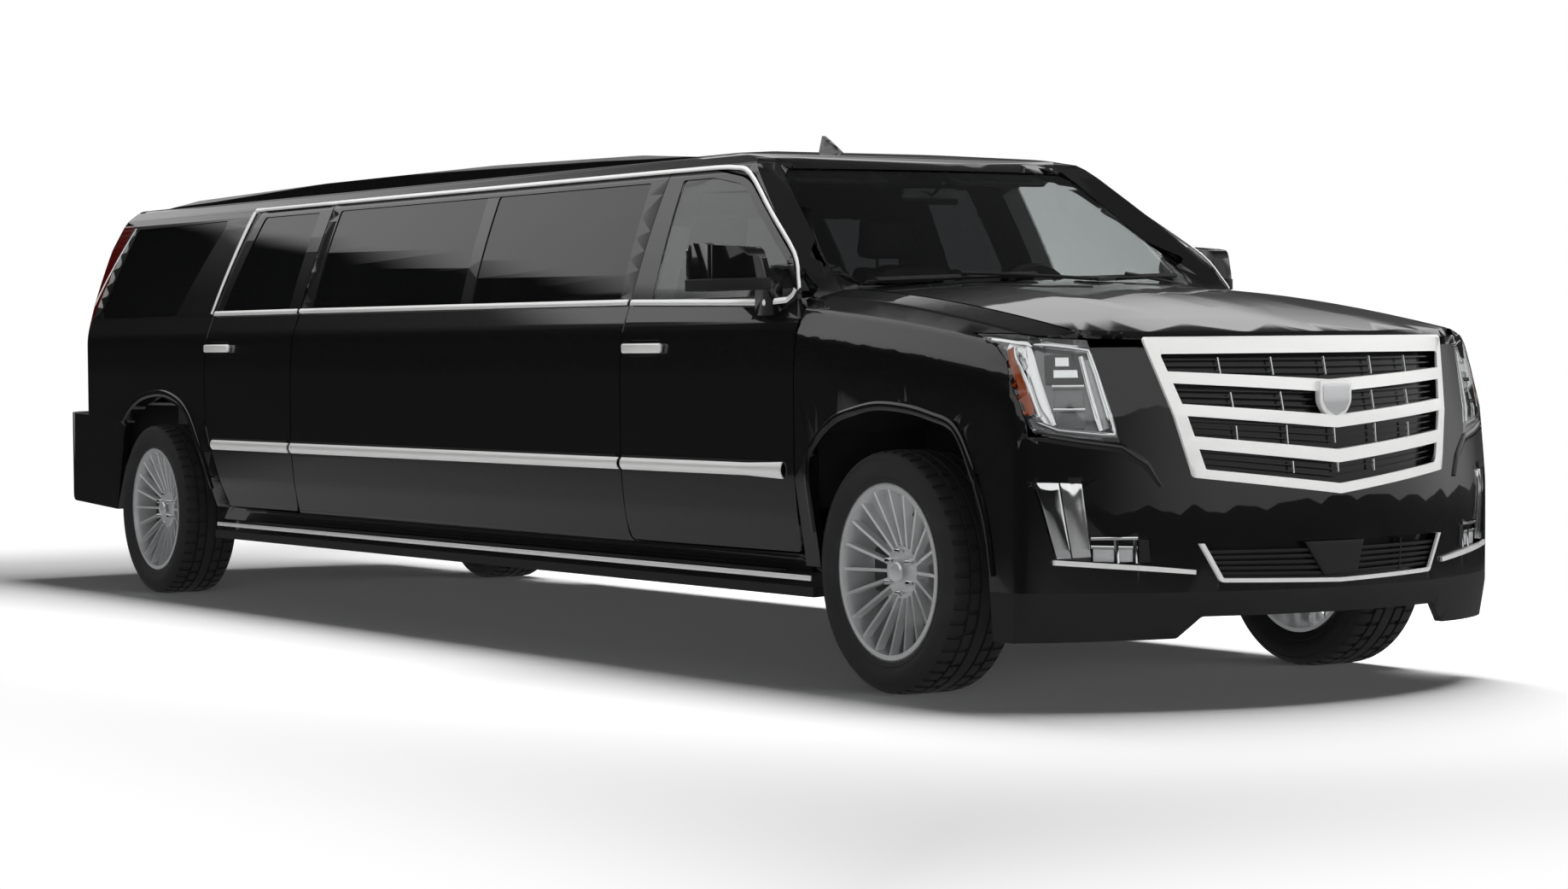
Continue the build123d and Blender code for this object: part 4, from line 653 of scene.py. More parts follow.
def turned(profile, centre=(0, 0, 0), axis=(0, 1, 0), steps=96):
    """Body turned about an axis through a centre; profile holds (radius, along) points."""
    free_hands()
    bpy.ops.mesh.primitive_plane_add(size=0.001, location=(0, 0, 0))
    piece = bpy.context.object
    pick_all(piece)
    bpy.ops.mesh.merge(type="CENTER")
    radius, rise = profile[0]
    bpy.ops.transform.translate(value=(radius, 0, rise))
    for (r0, a0), (r1, a1) in zip(profile, profile[1:]):
        bpy.ops.mesh.extrude_region_move(
            TRANSFORM_OT_translate={"value": (r1 - r0, 0, a1 - a0)})
    bpy.ops.mesh.select_all(action="SELECT")
    bpy.ops.mesh.spin(steps=steps, angle=2 * math.pi, center=(0, 0, 0), axis=(0, 0, 1))
    mode("OBJECT")
    piece.matrix_world = (Matrix.Translation(centre)
                          @ Vector(axis).to_track_quat("Z", "Y").to_matrix().to_4x4())
    hold(piece)
    keep_place()
    right_way_out(piece)
    return piece


def joined(pieces):
    """Several pieces as one."""
    free_hands()
    for piece in pieces:
        piece.select_set(True)
    bpy.context.view_layer.objects.active = pieces[0]
    bpy.ops.object.join()
    return bpy.context.object


def twin(piece, move):
    """Copy of a piece with its own mesh, moved by a matrix and turned right way out."""
    other = piece.copy()
    other.data = piece.data.copy()
    bpy.context.scene.collection.objects.link(other)
    other.data.transform(move)
    if move.determinant() < 0:
        other.data.flip_normals()
    return other


def both(*pieces):
    """Pieces and their mirror images across the middle plane, as one."""
    return joined([*pieces, *(twin(p, Matrix.Scale(-1.0, 4, (0, 1, 0))) for p in pieces)])


def smooth_round(rows, radius, steps=4):
    """Outline with its corners rounded."""
    out = []
    count = len(rows)
    for i, (u, v) in enumerate(rows):
        a, b = Vector(rows[i - 1]), Vector(rows[(i + 1) % count])
        p = Vector((u, v))
        da, db = (a - p), (b - p)
        reach = min(radius, da.length * 0.45, db.length * 0.45)
        start, end = p + da.normalized() * reach, p + db.normalized() * reach
        for k in range(steps + 1):
            t = k / steps
            out.append(tuple(start * (1 - t) ** 2 + p * 2 * t * (1 - t) + end * t ** 2))
    return out


# ---------------------------------------------------------------- what a user may change
class BodySettings(bpy.types.PropertyGroup):
    """Colours and small sizes of the body."""

    paint: bpy.props.FloatVectorProperty(
        name="Paint", description="Colour of the lacquered panels", subtype="COLOR", size=3,
        default=(0.0045, 0.0045, 0.0048), min=0.0, max=1.0)
    trim: bpy.props.FloatVectorProperty(
        name="Bright trim", description="Colour of the satin bright trim", subtype="COLOR",
        size=3, default=(0.93, 0.93, 0.92), min=0.0, max=1.0)
    hide: bpy.props.FloatVectorProperty(
        name="Leather", description="Colour of the seats", subtype="COLOR", size=3,
        default=(0.022, 0.02, 0.019), min=0.0, max=1.0)
    moulding: bpy.props.FloatProperty(
        name="Moulding width", description="Height of the lower side moulding",
        default=0.042, min=0.02, max=0.08, subtype="DISTANCE", unit="LENGTH")
    surround: bpy.props.FloatProperty(
        name="Window surround", description="Width of the bright line round the windows",
        default=0.020, min=0.01, max=0.05, subtype="DISTANCE", unit="LENGTH")


class StageSettings(bpy.types.PropertyGroup):
    """Studio round the car."""

    floor: bpy.props.FloatVectorProperty(
        name="Floor", description="Colour of the floor", subtype="COLOR", size=3,
        default=(0.93, 0.93, 0.93), min=0.0, max=1.0)
    lens: bpy.props.FloatProperty(
        name="Lens", description="Focal length of the camera", default=82.31, min=10.0,
        max=300.0, subtype="DISTANCE_CAMERA", unit="CAMERA")
    key: bpy.props.FloatProperty(
        name="Key light", description="Power of the large overhead light", default=1150.0,
        min=0.0, max=5000.0, unit="POWER")


# ---------------------------------------------------------------- finishes
class LIMO_OT_finishes(bpy.types.Operator):
    """Make all the finishes and put them on the frame's own nodes."""

    bl_idname = "limousine.finishes"
    bl_label = "Finishes"

    def execute(self, context):
        settings = context.scene.limousine_body
        painted("paint", list(settings.paint), 0.22)
        bright_metal("bright_trim", list(settings.trim), 0.30, metallic=0.38, mottle=0.06)
        bright_metal("mirror_glass", (0.80, 0.82, 0.84), 0.02, mottle=0.05)
        bright_metal("chrome", (0.82, 0.83, 0.84), 0.06)
        bright_metal("alloy", (0.78, 0.79, 0.80), 0.24, metallic=0.6)
        bright_metal("polished_alloy", (0.86, 0.865, 0.87), 0.12, metallic=0.95)
        bright_metal("brake_disc", (0.42, 0.41, 0.4), 0.32, grain=(40.0, 1.0, 1.0), depth=0.0004)
        glazing("dark_glass", (0.035, 0.036, 0.038), through=0.85)
        glazing("clear_glass", (0.80, 0.84, 0.83), shine=0.12)
        glazing("door_glass", (0.60, 0.62, 0.62))
        glazing("lamp_cover", (0.95, 0.96, 0.96))
        lens("tail_lens", (0.12, 0.003, 0.0025), 0.08, 0.2)
        lens("amber_lens", (0.72, 0.13, 0.012), 0.12, 0.0)
        lens("frosted_lens", (0.75, 0.76, 0.77), 0.2, 0.5)
        bright_metal("lamp_bowl", (0.20, 0.20, 0.21), 0.22, metallic=0.7)
        # pale lamp strips with a faint painted glow, not lit lamps
        faint_painted_glow("painted_glow_strip", (0.86, 0.87, 0.88), 0.08)
        moulded("black_plastic", (0.010, 0.010, 0.0105), 0.55)
        moulded("gloss_black", (0.008, 0.008, 0.009), 0.14, 900.0, 0.00008)
        moulded("seal_rubber", (0.011, 0.011, 0.011), 0.7)
        moulded("cabin_trim", (0.03, 0.028, 0.027), 0.6, 420.0, 0.0006)
        moulded("headliner", (0.055, 0.052, 0.048), 0.9, 300.0, 0.0006, 0.3)
        rubber("tyre_rubber", (0.014, 0.014, 0.0145))
        rough_metal("frame_steel", (0.02, 0.02, 0.021), (0.05, 0.036, 0.026), metallic=0.3)
        rough_metal("engine_iron", (0.06, 0.06, 0.062), (0.05, 0.035, 0.026))
        rough_metal("exhaust_steel", (0.28, 0.27, 0.26), (0.14, 0.09, 0.06), 0.35, 0.9)
        woven("carpet", (0.022, 0.021, 0.021), 380.0)
        hide("leather", list(settings.hide))
        for finish, nodes in CARRIED.items():
            for node in nodes.split():
                mesh = NODES[node].data
                mesh.materials.clear()
                mesh.materials.append(FINISHES[finish])
        return {"FINISHED"}


CARRIED = {  # finish, frame nodes that carry it
    "carpet": "floor_pan",
    "black_plastic": "bulkhead front_wheelhouses fuel_tank running_boards",
    "frame_steel": "chassis_frame steering_knuckle_left steering_knuckle_right rear_axle",
    "engine_iron": "engine_block", "exhaust_steel": "exhaust", "gloss_black": "grille_core",
    "cabin_trim": "partition dashboard", "leather": "front_seats lounge_seats",
    "lamp_bowl": "front_lamps", "tail_lens": "tail_lamps",
    "alloy": "rim_front_left rim_front_right rim_rear_left rim_rear_right",
    "tyre_rubber": "tyre_front_left tyre_front_right tyre_rear_left tyre_rear_right",
}
PANELS = (  # frame node, piece, finish
    ("body_side_left", "left_flank", "paint"), ("body_side_right", "right_flank", "paint"),
    ("roof_panel", "roof_skin", "paint"), ("hood", "hood_skin", "paint"),
    ("front_fenders", "fender_skins", "paint"), ("front_bumper", "nose_cover", "paint"),
    ("tailgate", "tailgate_skin", "paint"), ("rear_bumper", "rear_bumper_cover", "paint"),
    *((f"{end}_door_{side}", f"{end}_door_skin_{side}", "paint")
      for end in ("front", "rear") for side, _ in SIDES),
    ("front_valance", "chin", "black_plastic"),
    ("grille_frame", "grille_brightwork", "bright_trim"),
    ("windscreen", "windscreen_pane", "clear_glass"),
    ("side_windows", "fixed_panes", "dark_glass"),
    ("tailgate_glass", "tailgate_pane", "dark_glass"),
    *((f"{end}_door_glass_{side}", f"{end}_door_pane_{side}", finish)
      for end, finish in (("front", "door_glass"), ("rear", "dark_glass")) for side, _ in SIDES),
)


class LIMO_OT_panels(bpy.types.Operator):
    """Lacquered panels and glass, smooth over the frame's own shapes."""

    bl_idname = "limousine.panels"
    bl_label = "Panels and glass"

    def execute(self, context):
        for node, name, finish in PANELS:
            dressed_copy(node, name, finish)
        return {"FINISHED"}


# ---------------------------------------------------------------- nose and lamp surfaces
# Nose seen from the side, (height, reach ahead of the front axle), turned about a post.
NOSE_PROFILE = ((0.180, 1.075), (0.340, 1.104), (0.660, 1.110), (0.926, 1.086), (1.165, 1.032),
                (1.240, 0.985), (1.450, 0.890))
NOSE_TURN = 1.460
NOSE_REACH = 1.110
LAMP_POST = (FRONT_AXLE + 0.350, 0.450)      # the lamps' faces are felt towards this post
LAMP_ARM = 0.560                             # metres round the post per radian
LAMP_NODES = ["front_lamps", "front_fenders", "front_bumper"]


def nose_face(y, z, lift=0.0):
    """Point on the nose at a distance from the middle and a height."""
    for (z0, a0), (z1, a1) in zip(NOSE_PROFILE, NOSE_PROFILE[1:]):
        if z <= z1:
            break
    ahead = a0 + (a1 - a0) * (z - z0) / (z1 - z0)
    reach = NOSE_TURN - NOSE_REACH + ahead + lift
    return Vector((FRONT_AXLE + NOSE_REACH - NOSE_TURN + math.sqrt(reach ** 2 - y ** 2), y, z))


def lamp_face(round_post, z, lift=0.0):
    """Point on the left lamps' faces: metres round the post from straight ahead, height."""
    way = Vector((math.cos(round_post / LAMP_ARM), math.sin(round_post / LAMP_ARM), 0.0))
    post = Vector((*LAMP_POST, z))
    hit = skin_tree(LAMP_NODES).ray_cast(post + way * FEEL_REACH, -way, FEEL_REACH)[0]
    return (hit if hit is not None else post + way * LAMP_ARM) + way * lift


# ---------------------------------------------------------------- bright trim of the sides
TOP_LINE = ((-2.385, 1.812), (-1.582, 1.813), (1.343, 1.813), (1.790, 1.812), (1.935, 1.806),
            (2.066, 1.779), (2.318, 1.628), (2.563, 1.478), (2.640, 1.388), (2.664, 1.352))
REAR_PILLAR = ((-2.462, 1.332, 0.8), (-2.425, 1.560, 1.1), (-2.388, 1.806, 1.6))
BELT_FRONT = ((2.640, 1.352, 0.7), (2.632, 1.330), (2.606, 1.314), (2.540, 1.306),
              (1.508, 1.322))
BELT_BODY = ((1.482, 1.323), (-1.472, 1.331))
BELT_REAR = ((-1.500, 1.331), (-2.425, 1.332))
MOULDING_Z = 0.727
MOULDINGS = (  # body stem, station where it starts, where it ends
    ("front_door", 2.640, 1.512), ("chassis", 1.485, -1.470), ("rear_door", -1.496, -2.352),
)
HANDLES = (("front_door", 1.531, 1.810, 1.152), ("rear_door", -2.420, -2.151, 1.171))
GRIP_OUT, GRIP_HALF = 0.022, (0.010, 0.018)  # off the skin; half its thickness and height
FRONT_LIP = ((-0.474, 0.520), (-0.470, 0.757), (-0.418, 0.832), (-0.305, 0.903), (-0.170, 0.937),
             (-0.028, 0.955), (0.141, 0.946), (0.268, 0.924), (0.388, 0.890), (0.465, 0.791),
             (0.517, 0.680), (0.558, 0.578), (0.588, 0.420))
REAR_LIP = ((0.660, 0.520), (0.612, 0.640), (0.500, 0.800), (0.396, 0.893), (0.262, 0.942),
            (0.096, 0.962), (-0.124, 0.942), (-0.296, 0.880), (-0.398, 0.806))


def rides_on(stem, side):
    """Name of a body from its stem and side."""
    return stem if stem == "chassis" else f"{stem}_{side}"


class LIMO_OT_brightwork(bpy.types.Operator):
    """Window surround, belt line, side mouldings, handles, arch lips and step trims."""

    bl_idname = "limousine.brightwork"
    bl_label = "Side brightwork"

    def execute(self, context):
        settings = context.scene.limousine_body
        for side, sign in SIDES:
            self.surround(side, sign, settings.surround)
            self.mouldings(side, sign, settings.moulding)
            self.handles(side, sign)
            self.arch_lips(side, sign)
            self.step_trim(side, sign)
        return {"FINISHED"}

    def surround(self, side, sign, width):
        """Bright line round the side glass, in one piece on each body."""
        lay = flank(sign, 0.002)
        top = TOP_LINE[:3] + tuple(curved(TOP_LINE[3:], 4))
        body = joined([ribbon(REAR_PILLAR, width * 1.2, 0.003, lay),
                       ribbon(top, width * 0.75, 0.003, lay),
                       ribbon(BELT_BODY, width, 0.003, lay, step=0.2)])
        settle(body, f"window_surround_{side}", "bright_trim")
        for stem, path in (("front_door", BELT_FRONT), ("rear_door", BELT_REAR)):
            line = ribbon(path, width, 0.003, lay, step=0.1)
            settle(line, f"{stem}_belt_{side}", "bright_trim", rides_on(stem, side))

    def mouldings(self, side, sign, height):
        """Lower moulding: a bright band with a dark groove under its upper edge."""
        lay = flank(sign, 0.003)
        groove_z = MOULDING_Z + height * 0.64
        for stem, start, end in MOULDINGS:
            first = 1.35 if stem == "front_door" else 1.0
            path = [(start, MOULDING_Z, first), (start - 0.24, MOULDING_Z, 1.0),
                    (end, MOULDING_Z, 1.0)]
            band = ribbon(path, height, 0.010, lay, step=0.12, across=6)
            settle(band, f"{stem}_moulding_{side}", "bright_trim", rides_on(stem, side))
            groove = ribbon([(start - 0.02, groove_z), (end, groove_z)], 0.009, 0.0, lay,
                            step=0.2)
            settle(groove, f"{stem}_moulding_seat_{side}", "black_plastic",
                   rides_on(stem, side))

    def handles(self, side, sign):
        """Pull handle over a dark cup."""
        for stem, start, end, z in HANDLES:
            body = rides_on(stem, side)
            middle, half = (start + end) / 2, (end - start) / 2
            cup = patch(square(start + 0.03, z - 0.030, end - 0.03, z + 0.030), flank(sign),
                        0.0012, 0.002, 0.001)
            settle(cup, f"{stem}_handle_cup_{side}", "gloss_black", body)
            face = on_flank(middle, z, sign).y
            out = face + sign * GRIP_OUT
            grip = rounded_box([start, out - GRIP_HALF[0], z - GRIP_HALF[1]],
                               [end, out + GRIP_HALF[0], z + GRIP_HALF[1]], 0.0085, 4)
            for v in grip.data.vertices:
                v.co.y -= sign * 0.010 * ((v.co.x - middle) / half) ** 2
            feet = [rounded_box([x - 0.016, face - 0.012 + sign * 0.006, z - 0.013],
                                [x + 0.016, face + 0.012 + sign * 0.006, z + 0.013], 0.004)
                    for x in (start + 0.024, end - 0.024)]
            settle(joined([grip] + feet), f"{stem}_handle_{side}", "bright_trim", body)

    def arch_lips(self, side, sign):
        """Raised lips round the wheel arches, in the body's paint."""
        for name, axle, line in (("front", FRONT_AXLE, FRONT_LIP), ("rear", REAR_AXLE, REAR_LIP)):
            path = curved([(axle + x, z) for x, z in line])
            lip = ribbon(path, 0.028, 0.005, flank(sign, 0.0015), 0.004, 0.04, 6)
            settle(lip, f"{name}_arch_lip_{side}", "paint")

    def step_trim(self, side, sign):
        """Bright strip along the running board and ribbed treads on its top."""
        low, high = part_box("running_boards")
        edge = sign * (high[1] - 0.004)
        strip = rounded_box([low[0] + 0.02, edge - 0.004, high[2] - 0.020],
                            [high[0] - 0.02, edge + 0.004, high[2] - 0.002], 0.003)
        settle(strip, f"step_strip_{side}", "bright_trim")
        ribs = []
        for k in range(5):
            y = sign * (high[1] - 0.024 - 0.018 * k)
            ribs.append(rounded_box([low[0] + 0.30, y - 0.004, high[2] - 0.001],
                                    [high[0] - 0.30, y + 0.004, high[2] + 0.004], 0.0015, 2))
        settle(joined(ribs), f"step_treads_{side}", "seal_rubber")


# ---------------------------------------------------------------- front end
GRILLE_LOW, GRILLE_HIGH = (0.476, 0.756), (0.576, 1.118)     # half width and height of the opening
GRILLE_DIP = 0.702                                           # height of its lowest point
FIN_COUNT = 19
DIVIDERS = ((1.048, 1.105, (-0.385, -0.205, -0.002, 0.200, 0.380)),
            (0.935, 0.995, (-0.360, -0.188, 0.186, 0.362)),
            (0.830, 0.890, (-0.355, -0.180, 0.004, 0.184, 0.352)),
            (0.738, 0.775, (-0.165, 0.010, 0.168)))
SHIELD = ((-0.066, 0.056), (0.066, 0.056), (0.066, -0.012), (0.046, -0.046), (0.0, -0.072),
          (-0.046, -0.046), (-0.066, -0.012))
SHIELD_Z = 0.972
LOWER_SLATS = (0.428, 0.445, 0.462, 0.479, 0.496)
FOG = (0.205, 0.336, 0.466, 0.544)           # round the post and height: low, high
BOWL_SINK = 0.05                             # share of the way to the post
COVER_FACING, COVER_Z = 0.45, 0.80           # covers stand on faces past these


class LIMO_OT_nose(bpy.types.Operator):
    """Grille fins, plain shield, lower grille, headlamps and corner lamps."""

    bl_idname = "limousine.nose"
    bl_label = "Nose and lamps"

    def execute(self, context):
        self.fins()
        self.shield()
        self.lower_grille()
        self.bowls()
        self.headlamps()
        self.corner_lamps()
        return {"FINISHED"}

    def fins(self):
        """Thin horizontal fins behind the bars, with fine upright stays."""
        fins, stays = [], []
        for k in range(1, FIN_COUNT):
            t = k / FIN_COUNT
            side_z = GRILLE_LOW[1] + (GRILLE_HIGH[1] - GRILLE_LOW[1]) * t
            mid_z = GRILLE_DIP + (GRILLE_HIGH[1] - GRILLE_DIP) * t
            half = GRILLE_LOW[0] + (GRILLE_HIGH[0] - GRILLE_LOW[0]) * t
            fins.append(ribbon([(-half, side_z), (0.0, mid_z), (half, side_z)], 0.0045, 0.0,
                               raised(nose_face, -0.020), 0.016, 0.1, 2))
        for low, high, places in DIVIDERS:
            for y in places:
                stays.append(ribbon([(y, low), (y * 1.005, high)], 0.0030, 0.0,
                                    raised(nose_face, -0.012), 0.008, 0.1, 2))
        settle(joined(fins), "grille_fins", "gloss_black")
        settle(joined(stays), "grille_stays", "alloy")

    def shield(self):
        """Plain shield with a bright rim and a bare field."""
        front = nose_face(0.0, SHIELD_Z).x
        field = [(y * 0.84, z * 0.80 + 0.0005) for y, z in SHIELD]
        for name, finish, line, radius, low, high, edge in (
                ("shield_rim", "bright_trim", SHIELD, 0.012, -0.006, 0.020, 0.004),
                ("shield_field", "alloy", field, 0.010, 0.010, 0.023, 0.0015)):
            piece = plate(smooth_round(line, radius), front + low, front + high, "front", edge)
            piece.data.transform(Matrix.Translation((0, 0, SHIELD_Z)))
            settle(piece, name, finish)

    def lower_grille(self):
        """Slats and a plain panel in the lower opening."""
        lay = raised(nose_face, -0.014)
        slats = []
        for z in LOWER_SLATS:
            half = 0.425 + (z - 0.414) * 0.55
            dip = 0.012 * (0.524 - z) / 0.11
            slats.append(ribbon([(-half, z), (0.0, z - dip), (half, z)], 0.0065, 0.001, lay,
                                0.012, 0.1, 2))
        slats.append(ribbon([(0.285, 0.416), (0.290, 0.518)], 0.006, 0.0, lay, 0.014, 0.1, 2))
        settle(joined(slats), "lower_slats", "black_plastic")
        panel = patch([(-0.058, 0.412), (0.078, 0.412), (0.108, 0.521), (-0.135, 0.521)],
                      nose_face, -0.006, 0.012, 0.003)
        settle(panel, "lower_panel", "black_plastic")

    def bowls(self):
        """Lamp bowls set back behind the panels, under clear covers."""
        bowls = copy_of("front_lamps")
        for v in bowls.data.vertices:
            sign = 1.0 if v.co.y > 0 else -1.0
            v.co.x += (LAMP_POST[0] - v.co.x) * BOWL_SINK
            v.co.y += (sign * LAMP_POST[1] - v.co.y) * BOWL_SINK
        settle(bowls, "lamp_bowls", "lamp_bowl", "chassis", ("front_lamps",))
        cover = copy_of("front_lamps")

        def hidden(centre, normal):
            way = Vector((centre.x - LAMP_POST[0], abs(centre.y) - LAMP_POST[1], 0.0))
            out = Vector((normal.x, math.copysign(1.0, centre.y) * normal.y, 0.0))
            return out.dot(way.normalized()) < COVER_FACING or centre.z < COVER_Z
        pick_faces(cover, hidden)
        bpy.ops.mesh.delete(type="FACE")
        mode("OBJECT")
        use_modifier(cover, "SOLIDIFY", thickness=0.0025, offset=-1.0)
        settle(cover, "lamp_covers", "lamp_cover")

    def headlamps(self):
        """Frames, silver blade, amber side light and three stacked units."""
        near, mid, far = (raised(lamp_face, -depth) for depth in (0.007, 0.014, 0.021))
        frame = [
            ribbon([(0.745, 1.176, 0.6), (0.640, 1.168), (0.536, 1.156), (0.336, 1.132),
                    (0.312, 1.060), (0.262, 0.866), (0.300, 0.868, 0.7), (0.426, 0.882, 0.6),
                    (0.488, 0.908, 0.5)], 0.016, 0.003, near, 0.006, 0.03),
            ribbon([(0.362, 1.112), (0.305, 0.880)], 0.011, 0.002, near, 0.006, 0.03),
            ribbon([(0.571, 1.138), (0.528, 1.054), (0.480, 0.925)], 0.013, 0.003, near, 0.006,
                   0.03),
            ribbon([(0.448, 1.019), (0.352, 1.019)], 0.007, 0.001, near, 0.012, 0.03),
            ribbon([(0.442, 0.947), (0.349, 0.947)], 0.007, 0.001, near, 0.012, 0.03),
            patch([(0.445, 1.043), (0.369, 1.043), (0.372, 1.071), (0.446, 1.071)],
                  lamp_face, -0.010, 0.010, 0.003),
            patch([(0.441, 1.079), (0.397, 1.079), (0.399, 1.110), (0.443, 1.110)],
                  lamp_face, -0.012, 0.008, 0.003)]
        settle(both(*frame), "lamp_brightwork", "chrome")
        settle(both(ribbon([(0.600, 1.148, 0.6), (0.534, 1.134), (0.500, 1.030), (0.452, 0.893)],
                           0.038, 0.006, mid, 0.004, 0.03, 6)), "lamp_blades", "polished_alloy")
        settle(both(ribbon([(0.588, 1.138, 0.5), (0.566, 1.096), (0.546, 1.050),
                            (0.505, 0.932, 0.5)], 0.024, 0.003, near, 0.006, 0.02, 6)),
               "side_lights", "amber_lens")
        settle(both(patch([(0.470, 1.026), (0.352, 1.026), (0.357, 1.118), (0.480, 1.118)],
                          lamp_face, -0.020, 0.006, 0.002)), "lamp_pods", "gloss_black")
        settle(both(patch([(0.440, 0.951), (0.351, 0.951), (0.351, 1.014), (0.445, 1.014)],
                          lamp_face, -0.018, 0.008, 0.003, 0.006),
                    patch([(0.431, 0.886), (0.349, 0.886), (0.350, 0.942), (0.436, 0.942)],
                          lamp_face, -0.014, 0.008, 0.003, 0.008)), "lamp_units", "frosted_lens")
        # the headlamp guides carry a faint painted glow
        settle(both(ribbon([(0.344, 1.100), (0.318, 1.000), (0.288, 0.885)], 0.020, 0.003, far,
                           0.006, 0.03)), "lamp_guides", "painted_glow_strip")

    def corner_lamps(self):
        """Two upright facets, a small lamp with cross bars and its dark end."""
        settle(both(patch([(0.431, 0.481), (0.391, 0.483), (0.425, 0.719), (0.486, 0.720)],
                          lamp_face, -0.002, 0.006, 0.002, 0.004)),
               "corner_outer_facets", "chrome")
        settle(both(patch([(0.387, 0.484), (0.336, 0.487), (0.360, 0.716), (0.421, 0.719)],
                          lamp_face, 0.001, 0.008, 0.002, 0.005)),
               "corner_inner_facets", "polished_alloy")
        low_u, high_u, low_z, high_z = FOG
        settle(both(patch(square(low_u, low_z, high_u, high_z), lamp_face, -0.012, 0.004,
                          0.001)), "corner_wells", "gloss_black")
        bars = [ribbon(path, width, crown, raised(lamp_face, by), 0.006, 0.03)
                for path, width, crown, by in (
                    (((low_u, low_z + 0.048), (high_u, low_z + 0.052)), 0.006, 0.001, -0.005),
                    (((0.262, low_z), (0.266, high_z)), 0.010, 0.002, -0.004),
                    (((low_u + 0.006, low_z), (low_u + 0.008, high_z - 0.004)), 0.008, 0.002,
                     -0.002),
                    (((low_u, high_z), (high_u, high_z)), 0.006, 0.001, -0.002))]
        settle(both(*bars), "corner_bars", "chrome")
        glass = [patch(corners, lamp_face, -0.006, 0.005, 0.002, 0.004) for corners in (
            ((low_u + 0.012, low_z + 0.004), (0.257, low_z + 0.004),
             (0.259, low_z + 0.044), (low_u + 0.012, low_z + 0.044)),
            ((0.270, low_z + 0.004), (high_u - 0.006, low_z + 0.006),
             (high_u - 0.006, low_z + 0.046), (0.270, low_z + 0.044)))]
        settle(both(*glass), "corner_lenses", "frosted_lens")
        settle(both(patch([(0.172, 0.470), (0.203, 0.467), (0.203, 0.541), (0.176, 0.538)],
                          lamp_face, 0.001, 0.006, 0.002)), "corner_caps", "black_plastic")
        settle(both(ribbon([(0.490, 0.866, 0.5), (0.360, 0.842), (0.246, 0.826),
                            (0.176, 0.772, 0.8), (0.140, 0.706, 0.3)], 0.026, 0.007, lamp_face,
                           0.004, 0.02, 6)), "lamp_creases", "paint")


# ---------------------------------------------------------------- wheels
WHEEL_Y = 0.8725
TYRE_HALF = (  # radius and distance out from the tyre's middle plane, from the bead outwards
    (0.288, 0.112), (0.296, 0.121), (0.309, 0.1265), (0.3115, 0.1285), (0.3145, 0.1270),
    (0.330, 0.1370), (0.345, 0.1415), (0.360, 0.1405), (0.3745, 0.1350), (0.376, 0.1365),
    (0.3785, 0.1350), (0.388, 0.1290), (0.396, 0.1210), (0.4005, 0.1110), (0.4030, 0.0900),
)
TYRE_INSIDE = ((0.288, -0.100), (0.340, -0.110), (0.380, -0.080), (0.384, 0.0),
               (0.380, 0.080), (0.340, 0.110), (0.288, 0.100), (0.288, 0.112))
GROOVES = (0.066, 0.024)
GROOVE_HALF, GROOVE_DEPTH = 0.0055, 0.008
TREAD_R = 0.4045
TREAD_STEPS = 144
SIPE_DEPTH = 0.006
TREAD_EDGE_R = 0.3955                        # sipes lie outside this radius
SHOULDER, BLOCK = 0.073, (0.031, 0.059)      # distances out from the middle plane
LUG_CIRCLE, LUG_R, LUG_LENGTH, LUG_Y = 0.06985, 0.0115, 0.030, 0.074
WHEELS = (("front", "left", "steering_left"), ("front", "right", "steering_right"),
          ("rear", "left", "chassis"), ("rear", "right", "chassis"))


